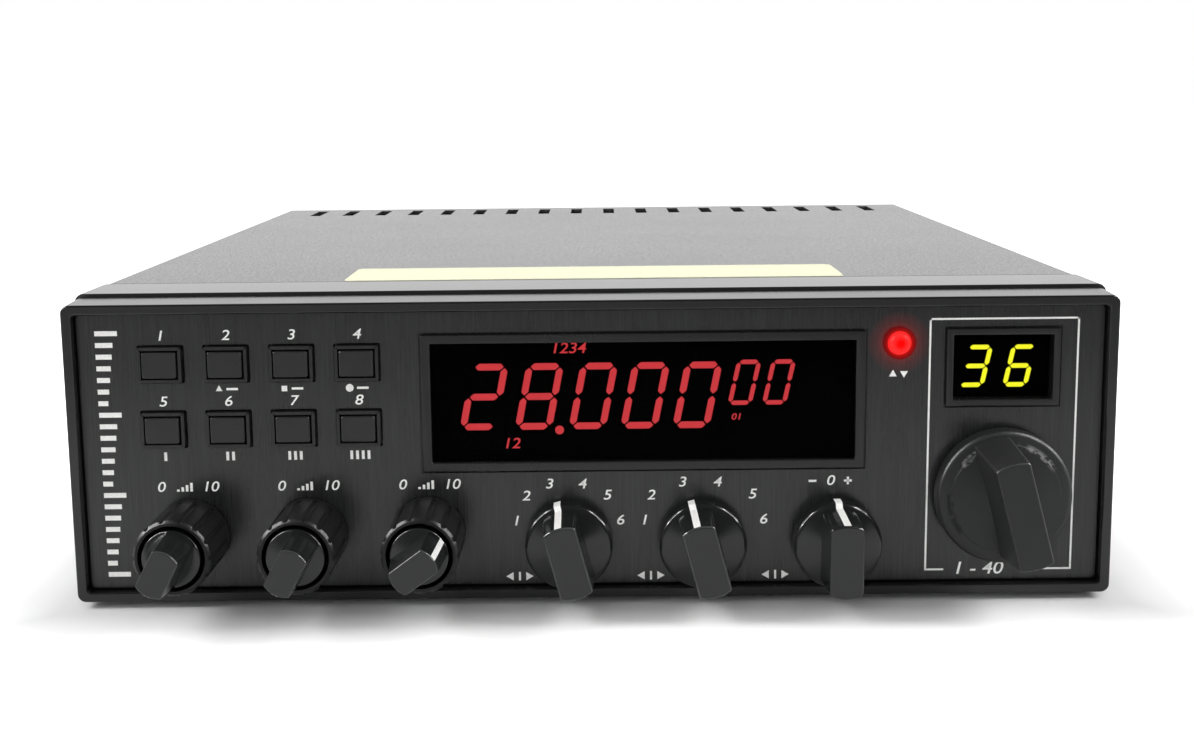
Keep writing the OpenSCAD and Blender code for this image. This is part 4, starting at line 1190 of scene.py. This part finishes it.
class RADIO_OT_keys(RadioOperator):
    """Key caps with their flanges and stems"""

    bl_idname = "radio.keys"
    bl_label = "Keys"

    def make(self, size, colours):
        x, z = place = axis_of(KEYS[0])
        proud, flange, flange_back, flange_t, stem_w, stem_end = 1.9, 0.9, -4.1, 1.0, 2.4, -9.5
        cap = front_box("cap_1", place, KEY_W, KEY_H, flange_back, proud)
        round_edges(cap, running(1), KEY_CORNER)
        round_edges(cap, in_plane(PANEL_Y - proud), size.key_round, 3)
        centre = (x, PANEL_Y - flange_back, z)
        wide, tall = KEY_W + 2 * flange, KEY_H + 2 * flange
        pick(cap, "FACE", facing(1, 1))
        extrude()
        resize(centre, (wide / KEY_W, 1, tall / KEY_H))
        extrude((0, flange_t, 0))
        extrude()
        resize(centre, (stem_w / wide, 1, stem_w / tall))
        extrude((0, flange_back - flange_t - stem_end, 0))
        leave()
        for piece, key in zip(at_keys(cap, "cap"), KEYS):
            dress(piece, "key", "key_plastic", key, body=key)


# Thickness of a lit segment
GLOW_T = 0.04

# Which of the seven segments are lit: a is the top one, b to f follow clockwise, g is the middle
SEGMENTS = {"0": "abcdef", "2": "abged", "3": "abgcd", "6": "afgedc", "8": "abcdefg"}


def lit_digit(digit, corner, width, height, weight, slant, level):
    """One lit digit: its lower left corner, the size between its segments' lines, and its slant."""
    x, z = corner
    ends = {
        "a": ((0, height), (width, height)),
        "b": ((width, height), (width, height / 2)),
        "c": ((width, height / 2), (width, 0)),
        "d": ((0, 0), (width, 0)),
        "e": ((0, 0), (0, height / 2)),
        "f": ((0, height / 2), (0, height)),
        "g": ((0, height / 2), (width, height / 2)),
    }
    gap_share, point_share = 0.42, 0.46
    pieces = []
    for name in SEGMENTS[digit]:
        (ax, az), (bx, bz) = ends[name]
        run = abs(bx - ax) + abs(bz - az) - weight * gap_share
        size = (run, weight) if az == bz else (weight, run)
        middle = (x + (ax + bx) / 2, z + (az + bz) / 2)
        piece = front_box("segment", middle, *size, level, level + GLOW_T)
        round_edges(piece, running(1), weight * point_share, 1)
        pieces.append(piece)
    made = join("digit", pieces)
    lean = Matrix.Identity(4)
    lean[0][2] = slant
    made.data.transform(shift(x, 0, z) @ lean @ shift(-x, 0, -z))
    return made


def lettering(words, place, height, level, thick):
    """Wide slanted numbers, centred at a place on the panel."""
    cap_share, widen = 0.69, 1.18
    deselect()
    bpy.ops.object.text_add(
        location=Vector((place[0], PANEL_Y - level - thick / 2, place[1])) * MM,
        rotation=(math.pi / 2, 0, 0),
    )
    made = bpy.context.object
    made.data.body = words
    made.data.align_x, made.data.align_y = "CENTER", "CENTER"
    made.data.size = height / cap_share * MM
    made.data.shear, made.data.offset = 0.18, 0.02 * MM
    made.data.extrude = thick / 2 * MM
    bpy.ops.object.convert(target="MESH")
    bpy.context.object.scale.x = widen
    return settle("number")


class RADIO_OT_displays(RadioOperator):
    """Display frames, smoked windows and lit digits"""

    bl_idname = "radio.displays"
    bl_label = "Displays"

    def make(self, size, colours):
        for name in ("display", "channel"):
            rounded(f"{name}_frame", f"{name}_surround", 0.22, "surround", "bezel_plastic")
            paint(f"{name}_window", "window")
            paint(f"{name}_module", "module")
        self.main_digits()
        self.channel_digits()

    def digits(self, level, *rows):
        """Rows of lit digits: their text, left ends, height on the bezel and shape."""
        return [
            lit_digit(digit, (x, BEZEL_LOW + up), *shape, level)
            for text, lefts, up, shape in rows
            for digit, x in zip(text, lefts)
        ]

    def light(self, name, finish, pieces):
        dress(join(name, pieces), finish, "lamp").visible_glossy = False

    def inside(self, window):
        """The level of the digits, just inside a window's back."""
        sunk = 0.02
        return levels(window)[0] + sunk

    def main_digits(self):
        level = self.inside("display_window")
        lefts = (-24.68, -14.09, -3.73, 6.2, 16.22)
        pieces = self.digits(
            level,
            ("28000", lefts, 33.36, (5.88, 11.63, 1.3, 0.2)),
            ("00", (26.58, 33.19), 37.57, (3.81, 7.92, 0.85, 0.218)),
        )
        point = (-6.19, BEZEL_LOW + 32.59)
        pieces.append(front_rod("point", point, level, level + GLOW_T, 0.85, 24))
        small = (("1234", -4.4, 48.42, 2.0), ("12", -15.5, 29.98, 2.0), ("01", 27.8, 34.81, 1.2))
        for words, x, up, tall in small:
            pieces.append(lettering(words, (x, BEZEL_LOW + up), tall, level, GLOW_T))
        self.light("main_digits", "red", pieces)

    def channel_digits(self):
        pieces = self.digits(
            self.inside("channel_window"),
            ("3", (71.18,), 40.2, (4.12, 7.35, 0.88, 0.208)),
            ("6", (79.75,), 40.2, (3.95, 7.35, 0.88, 0.208)),
        )
        self.light("channel_digits", "yellow", pieces)


class RADIO_OT_lamp(RadioOperator):
    """Status lamp in its holder"""

    bl_idname = "radio.lamp"
    bl_label = "Status lamp"

    def make(self, size, colours):
        x, z = place = axis_of("status_lamp")
        body_back, dome_r, lead_back, lead_x, lead_r = -6, 1.75, -13.5, 1.25, 0.25
        tip = levels("status_lamp")[1]
        lens = front_rod("lamp_lens", place, body_back, tip, radius_of("status_lamp"), 48)
        round_edges(lens, in_plane(PANEL_Y - tip), dome_r, 8)
        leads = [
            front_rod("lead", (x + side * lead_x, z), lead_back, body_back, lead_r, 12)
            for side in (-1, 1)
        ]
        dress(join("lamp_lens", [lens, *leads]), "lamp", "lamp", "status_lamp")
        rounded("lamp_holder", "lamp_bush", 0.2, "lamp_bush", "bezel_plastic")


def raise_front(piece, width, rise):
    """Insets a knob's front by a width and lifts what is inside by a height."""
    pick(piece, "FACE", facing(1, -1))
    bpy.ops.mesh.inset(thickness=width * MM, depth=rise * MM)
    leave()


def finger_bar(place, root_r, tip_half, width, low, high, size):
    """A knob's bar: a tapered plug cut by a drafted slab, with rounded edges."""
    draft = 0.4
    bar = front_rod("bar", place, low, high, root_r, 48, tip_half)
    slab = front_box("slab", place, width, 4 * root_r, low - 1, high + 1)
    pick(slab, "FACE", facing(1, 1))
    resize((place[0], PANEL_Y - low, place[1]), ((width + 2 * draft) / width, 1, 1))
    leave()
    combine(bar, slab, "INTERSECT")
    soften(merged(bar), size.knob_round, 3, 40)
    return bar


def pointer(name, width, line, degrees):
    """A control's white strip, along a line of level and radius up its knob's end face."""
    x, z = place = axis_of(f"{name}_shaft")
    thick = 0.06
    strip = front_box(f"{name}_pointer", place, width, thick, line[0][0], line[-1][0])
    for level, _ in line[1:-1]:
        pick_all(strip)
        bpy.ops.mesh.bisect(plane_co=Vector((x, PANEL_Y - level, z)) * MM, plane_no=(0, 1, 0))
        leave()
    for vertex in strip.data.vertices:
        level = PANEL_Y - vertex.co.y / MM
        vertex.co.z += (min(line, key=lambda stop: abs(stop[0] - level))[1]) * MM
    strip.data.transform(turn_about(place, degrees))
    dress(strip, "ink", "knob_plastic", body=f"{name}_knob")


class RADIO_OT_bar_knobs(RadioOperator):
    """Selector, clarifier and channel knobs with their pointers"""

    bl_idname = "radio.bar_knobs"
    bl_label = "Bar knobs"

    def make(self, size, colours):
        bar_w, bar_len, cone = 6.2, 14, ((4.4, 1.0),)
        for name, turn in (("band", -15), ("mode", -15), ("clarifier", 0)):
            self.knob(name, size, bar_w, bar_len, turn, "knob", cone)
            self.mark(name, size, bar_len, turn)
        bar_w, bar_len, stepped = 6.4, 20.4, ((1.5, 0.2), (0.12, 0.4), (6.5, 1.1))
        self.knob("channel", size, bar_w, bar_len, -15, "dial", stepped)

    def knob(self, name, size, bar_w, bar_len, turn, finish, rises):
        """A skirt whose front rises in rings of a width and a height, with a bar across it."""
        hollow_r, hollow_t = 6.3, 2
        node, place = f"{name}_knob", axis_of(f"{name}_shaft")
        radius = radius_of(node)
        gap, front = levels(node)
        shoulder = gap + size.skirt_h
        top = shoulder + size.skirt_bevel
        piece = front_rod(f"{name}_grip", place, gap, top, radius, 128)
        round_edges(piece, in_plane(PANEL_Y - top), size.skirt_bevel, 3)
        for width, rise in rises:
            raise_front(piece, width, rise)
        hollow = front_rod("hollow", place, gap - 1, gap + hollow_t, hollow_r, 48)
        combine(piece, hollow, "DIFFERENCE")
        root = radius - size.skirt_bevel
        bar = finger_bar(place, root, bar_len / 2, bar_w, shoulder, front, size)
        combine(piece, bar, "UNION")
        piece.data.transform(turn_about(place, turn))
        dress(piece, finish, "knob_plastic", node, body=node)

    def mark(self, name, size, bar_len, turn):
        """The white pointer, up the skirt's side, over its rounding and along the bar's end."""
        node = f"{name}_knob"
        radius, proud, steps, foot, sunk, tip = radius_of(node), 0.05, 6, 0.2, 0.03, 0.3
        gap, front = levels(node)
        shoulder, root = gap + size.skirt_h, radius - size.skirt_bevel
        over = size.skirt_bevel + proud
        line = [(gap + foot, radius + proud - sunk)]
        for i in range(steps + 1):
            lean = math.pi / 2 * i / steps
            line.append((shoulder + over * math.sin(lean), root + over * math.cos(lean)))
        line.append((front - tip, bar_len / 2 + proud))
        pointer(name, size.pointer_w, line, turn)


class RADIO_OT_dual_knobs(RadioOperator):
    """Fluted rings and the bar knobs inside them"""

    bl_idname = "radio.dual_knobs"
    bl_label = "Dual knobs"

    def make(self, size, colours):
        for name, turn, mark in zip(DUALS, (28, 28, 54), (208, 208, 54)):
            node = f"{name}_ring"
            rounded(node, f"{name}_fluted", 0.14, "ring", "ring_plastic", body=node)
            self.inner(name, turn, mark, size)

    def inner(self, name, turn, mark, size):
        node, place = f"{name}_knob", axis_of(f"{name}_shaft")
        back, front = levels(node)
        disc_r, disc_round, lift, bar_w, bar_len = 5.4, 0.3, 0.4, 5, 8.7
        face = levels(f"{name}_ring")[1] + lift
        piece = front_rod(f"{name}_grip", place, back, face, disc_r, 96)
        round_edges(piece, in_plane(PANEL_Y - face), disc_round, 3)
        raise_front(piece, 2.6, 0.6)
        bar = finger_bar(place, disc_r, bar_len / 2, bar_w, face - 1, front, size)
        combine(piece, bar, "UNION")
        piece.data.transform(turn_about(place, turn))
        dress(piece, "inner", "knob_plastic", node, body=node)
        root = disc_r + (bar_len / 2 - disc_r) / (front - face + 1)
        foot, foot_proud, tip, tip_proud, slim = 0.1, 0.02, 0.35, 0.04, 0.85
        line = [(face + foot, root + foot_proud), (front - tip, bar_len / 2 + tip_proud)]
        pointer(name, size.pointer_w * slim, line, mark)


class RADIO_OT_printing(RadioOperator):
    """Numbers, scales and outline printed on the panel"""

    bl_idname = "radio.printing"
    bl_label = "Printing"

    def make(self, size, colours):
        self.low = 0.004
        self.high = self.low + size.print_t
        self.pieces = []
        self.key_marks()
        self.knob_marks()
        self.outline()
        self.level_scale()
        piece = join("panel_print", self.pieces)
        dress(piece, "ink", "panel_metal")

    def text(self, words, x, up, height=1.9):
        place = (x, BEZEL_LOW + up)
        self.pieces.append(lettering(words, place, height, self.low, self.high - self.low))

    def bar(self, x, up, width, height):
        place = (x, BEZEL_LOW + up)
        self.pieces.append(front_box("bar", place, width, height, self.low, self.high))

    def dot(self, x, up, radius, sides=24, turn=0):
        place = (x, BEZEL_LOW + up)
        made = front_rod("dot", place, self.low, self.high, radius, sides)
        made.data.transform(turn_about(place, turn))
        self.pieces.append(made)

    def wedge(self, x, up, width=3.4, height=1.7):
        """A rising wedge of four bars: less to more."""
        steps = 4
        for i, offset in enumerate(spread(steps, width / steps), 1):
            tall = height * i / steps
            self.bar(x + offset, up - (height - tall) / 2, 0.5, tall)

    def key_marks(self):
        top_row, low_row, sign_row, tally_row = 51.8, 39.1, 41.5, 28.45
        columns = [axis_of(key)[0] for key in KEYS]
        for number, x in enumerate(columns, 1):
            self.text(str(number), x, top_row if number <= 4 else low_row)
        sign_r, sign_x, dash_x, dash_w, dash_h = 0.75, -1.6, 0.9, 2.2, 0.45
        for x, sides, turn in zip(columns[1:], (3, 4, 24), (0, 45, 0)):
            self.dot(x + sign_x, sign_row, sign_r, sides, turn)
            self.bar(x + dash_x, sign_row, dash_w, dash_h)
        tally_w, tally_h, tally_pitch = 0.55, 1.7, 1.1
        for count, x in enumerate(columns[:4], 1):
            for offset in spread(count, tally_pitch):
                self.bar(x + offset, tally_row, tally_w, tally_h)

    def knob_marks(self):
        row, least_x, most_x = 22.4, -4.6, 4.9
        for x in (-78.45, -55.3, -32.0):
            self.text("0", x + least_x, row)
            self.wedge(x, row)
            self.text("10", x + most_x, row)
        band = [(-14.83, 15.0), (-12.81, 19.94), (-8.34, 22.27)]
        band += [(-1.99, 22.2), (2.81, 19.97), (5.28, 14.99)]
        mode = [(9.92, 14.94), (11.29, 19.88), (17.28, 22.39)]
        mode += [(24.02, 22.32), (30.77, 19.88), (32.93, 14.89)]
        for ring in (band, mode):
            for number, (x, up) in enumerate(ring, 1):
                self.text(str(number), x, up)
        arrow_r, arrow_x, stop_w, stop_h = 0.95, 1.7, 0.4, 1.7
        for x, up in ((-14.26, 3.99), (11.21, 3.92), (35.33, 3.86)):
            self.dot(x - arrow_x, up, arrow_r, 3, -90)
            self.bar(x, up, stop_w, stop_h)
            self.dot(x + arrow_x, up, arrow_r, 3, 90)
        minus, zero, plus, row = 42.4, 45.79, 49.2, 22.39
        long, thin = 1.5, 0.42
        self.bar(minus, row, long, thin)
        self.text("0", zero, row)
        self.bar(plus, row, long, thin)
        self.bar(plus, row, thin, long)
        lamp_sign_r = 0.85
        for x, up, turn in ((57.5, 43.06, 0), (59.6, 43.2, 180)):
            self.dot(x, up, lamp_sign_r, 3, turn)

    def outline(self):
        """The line round the channel display and its knob, open for a number below."""
        left, right, low, high, line = 64.47, 92.6, 4.5, 53.58, 0.36
        self.bar((left + right) / 2, high, right - left + line, line)
        for x in (left, right):
            self.bar(x, (low + high) / 2, line, high - low + line)
        gap_from, gap_to = 68.0, 84.4
        self.bar((left + gap_from) / 2, low, gap_from - left, line)
        self.bar((gap_to + right) / 2, low, right - gap_to, line)
        self.text("1 - 40", 74.6, 4.63, 2.4)

    def level_scale(self):
        """An upright scale of bars along the left edge."""
        low, high, left, count, thick = 5.2, 52.4, -94.1, 22, 0.95
        group, long, short, gain = 7, 4.3, 1.6, 2.0
        for i in range(count):
            up = low + (high - low) * i / (count - 1)
            width = short + gain * (i % group) / group if i % group else long
            self.bar(left + width / 2, up, width, thick)


def threaded(name, start, end, radius, bore_r, mouth_t):
    """A threaded barrel with a stepped mouth, made from one thread's turn repeated along it."""
    depth, mouth_wall, floor_t = 0.5, 1.6, 0.5
    start, end = Vector(start), Vector(end)
    run = (end - start).normalized()
    count = round((end - start).length)
    pitch = (end - start).length / count
    turn = start_rod(
        name, start, start + run * pitch / 2, radius - depth, 64, radius, open_ends=True
    )
    crest = start + run * pitch / 2
    pick(turn, "EDGE", lambda middle, way: abs((middle - crest).dot(run)) < TINY)
    extrude(run * pitch / 2)
    shrink = (radius - depth) / radius
    resize(start + run * pitch, [1 if abs(axis) > 0.5 else shrink for axis in run])
    leave()
    rows = turn.modifiers.new("Turns", "ARRAY")
    rows.count, rows.use_relative_offset, rows.use_constant_offset = count, False, True
    rows.constant_offset_displace = run * pitch * MM
    rows.use_merge_vertices, rows.merge_threshold = True, 1e-6
    apply(turn, rows)
    finish = start + run * pitch * count
    for cap in (start, finish):
        pick(turn, "EDGE", lambda middle, way: abs((middle - cap).dot(run)) < TINY)
        bpy.ops.mesh.edge_face_add()
        leave()
    pick_all(turn)
    bpy.ops.mesh.normals_make_consistent(inside=False)
    leave()
    for back, hole_r, sides in (
        (mouth_t, radius - depth - mouth_wall, 48),
        (count * pitch - floor_t, bore_r, 32),
    ):
        hole = start_rod("hole", finish - run * back, finish + run, hole_r, sides)
        combine(turn, hole, "DIFFERENCE")
    return turn


class RADIO_OT_rear(RadioOperator):
    """Rear plate, heat sink and rear sockets"""

    bl_idname = "radio.rear"
    bl_label = "Rear"

    def make(self, size, colours):
        rounded("rear_panel", "rear_plate", 0.15, "rear", "rear_metal", 1)
        self.heat_sink()
        self.antenna()
        for node, name in (("power_socket", "power_inlet"), ("jack_sockets", "jacks")):
            rounded(node, name, 0.25, "socket", "socket_plastic")

    def heat_sink(self):
        low, high = span("heat_sink")
        base, count, fin_t = 4, 14, 2.2
        piece = start_box("finned_sink", low, high)
        pitch = (high.x - low.x - fin_t) / (count - 1)
        places = [(low.x + high.x) / 2 + offset for offset in spread(count - 1, pitch)]
        ends = low.y + base, high.y + 1
        grooves = slots(places, pitch - fin_t, lambda x: ends, low.z - 1, high.z + 1)
        combine(piece, grooves, "DIFFERENCE")
        soften(piece, 0.4)
        dress(piece, "sink", "sink_metal", "heat_sink")

    def antenna(self):
        end = span("antenna_socket")[1].y
        x, z = axis_of("antenna_socket")
        half, corner, thread_r, bore_r, mouth_t = 12.5, 2, 7.9, 2.0, 1.2
        front = REAR_Y + FLANGE_T
        flange = start_box(
            "antenna_flange", (x - half, REAR_Y, z - half), (x + half, front, z + half)
        )
        round_edges(flange, running(1), corner, 5)
        soften(flange, 0.25)
        barrel = threaded("barrel", (x, front, z), (x, end, z), thread_r, bore_r, mouth_t)
        dress(join("antenna_fitting", [flange, barrel]), "nickel", "plating", "antenna_socket")
        ring_r, ring_wall, ring_t, floor_y = 5.2, 3.1, 0.8, end - mouth_t
        ring = start_rod(
            "antenna_insulator", (x, floor_y, z), (x, floor_y + ring_t, z), ring_r, 48
        )
        pierce(ring, 1, ring_wall)
        soften(ring, 0.1)
        dress(ring, "insulator", "socket_plastic")


class RADIO_OT_sides(RadioOperator):
    """Microphone socket and bracket inserts"""

    bl_idname = "radio.sides"
    bl_label = "Side fittings"

    def make(self, size, colours):
        rounded("mic_socket", "mic_fitting", 0.3, "nickel", "plating")
        rounded("mount_inserts", "bracket_inserts", 0.2, "nickel", "plating")


class RADIO_OT_screws(RadioOperator):
    """Cross-headed screws of the covers and the rear"""

    bl_idname = "radio.screws"
    bl_label = "Screws"

    def make(self, size, colours):
        signs, head_h, cross = (-1, 1), 1.7, 3.2
        heads = [
            ((side * (CASE_HIGH.x + head_h), y, z), cross)
            for side in signs
            for y in (SCREW_LOW.y, SCREW_HIGH.y)
            for z in (SCREW_LOW.z, SCREW_HIGH.z)
        ]
        piece = copy_of("cover_screws", "cover_fasteners")
        soften(piece, 0.5, 3)
        combine(piece, self.crosses(heads, 0), "DIFFERENCE")
        dress(piece, "black_screw", "black_screw", "cover_screws")
        rear_x, rear_z, flange_out, small_h, small_cross = 91.2, 8.1, 9.2, 1.4, 2.4
        heads = [
            ((side * rear_x, REAR_Y + head_h, z), cross)
            for side in signs
            for z in (rear_z, CASE_TOP - rear_z)
        ]
        x, z = axis_of("antenna_socket")
        small_y = REAR_Y + FLANGE_T + small_h
        heads += [
            ((x + right * flange_out, small_y, z + up * flange_out), small_cross)
            for right in signs
            for up in signs
        ]
        piece = copy_of("machine_screws", "machine_fasteners")
        soften(piece, 0.4, 2)
        combine(piece, self.crosses(heads, 1), "DIFFERENCE")
        dress(piece, "nickel", "plating", "machine_screws")

    def crosses(self, heads, axis):
        """Cutters for cross recesses, each at the middle of a head that looks along an axis."""
        depth, slot = 0.9, 0.62
        tools = []
        for place, reach in heads:
            arms = []
            for along in (way for way in range(3) if way != axis):
                half = Vector([slot / 2] * 3)
                half[along], half[axis] = reach / 2, depth
                arms.append(start_box("cross", Vector(place) - half, Vector(place) + half))
            combine(*arms, "UNION")
            tools.append(arms[0])
        return join("crosses", tools)


class RADIO_OT_inside(RadioOperator):
    """Finishes of the pieces inside the case, whose CAD shapes stay"""

    bl_idname = "radio.inside"
    bl_label = "Inside"

    def make(self, size, colours):
        kept = {
            "cast": ["chassis"],
            "switch": ["key_switches"],
            "board": ["front_board", "main_board"],
            "component": ["board_components"],
            "transistor": ["power_transistors"],
            "basket": ["speaker_basket"],
            "cone": ["speaker_cone"],
            "steel": ["dual_controls", "selector_switches", "clarifier_control"],
            "nickel": ["control_nuts"],
            "plunger": ["clarifier_plunger"],
            "shaft": SHAFTS,
        }
        for finish, nodes in kept.items():
            for node in nodes:
                paint(node, finish)


STEPS = (
    RADIO_OT_stage,
    RADIO_OT_finishes,
    RADIO_OT_front,
    RADIO_OT_covers,
    RADIO_OT_label,
    RADIO_OT_keys,
    RADIO_OT_displays,
    RADIO_OT_lamp,
    RADIO_OT_bar_knobs,
    RADIO_OT_dual_knobs,
    RADIO_OT_printing,
    RADIO_OT_rear,
    RADIO_OT_sides,
    RADIO_OT_screws,
    RADIO_OT_inside,
)


class RADIO_PT_sidebar(bpy.types.Panel):
    """Lists the radio's pieces, sizes and colours"""

    bl_idname = "RADIO_PT_sidebar"
    bl_label = "Mobile transceiver"
    bl_space_type = "VIEW_3D"
    bl_region_type = "UI"
    bl_category = "Radio"

    def draw(self, context):
        for step in STEPS:
            self.layout.operator(step.bl_idname)
        for group in (context.scene.radio_sizes, context.scene.radio_colours):
            box = self.layout.box()
            for name in type(group).__annotations__:
                box.prop(group, name)


CLASSES = (RadioSizes, RadioColours, *STEPS, RADIO_PT_sidebar)


def register():
    for item in CLASSES:
        bpy.utils.register_class(item)
    bpy.types.Scene.radio_sizes = bpy.props.PointerProperty(type=RadioSizes)
    bpy.types.Scene.radio_colours = bpy.props.PointerProperty(type=RadioColours)


def unregister():
    del bpy.types.Scene.radio_colours
    del bpy.types.Scene.radio_sizes
    for item in reversed(CLASSES):
        bpy.utils.unregister_class(item)


def main():
    register()
    for step in STEPS:
        group, name = step.bl_idname.split(".")
        getattr(getattr(bpy.ops, group), name)()


if __name__ == "__main__":
    main()
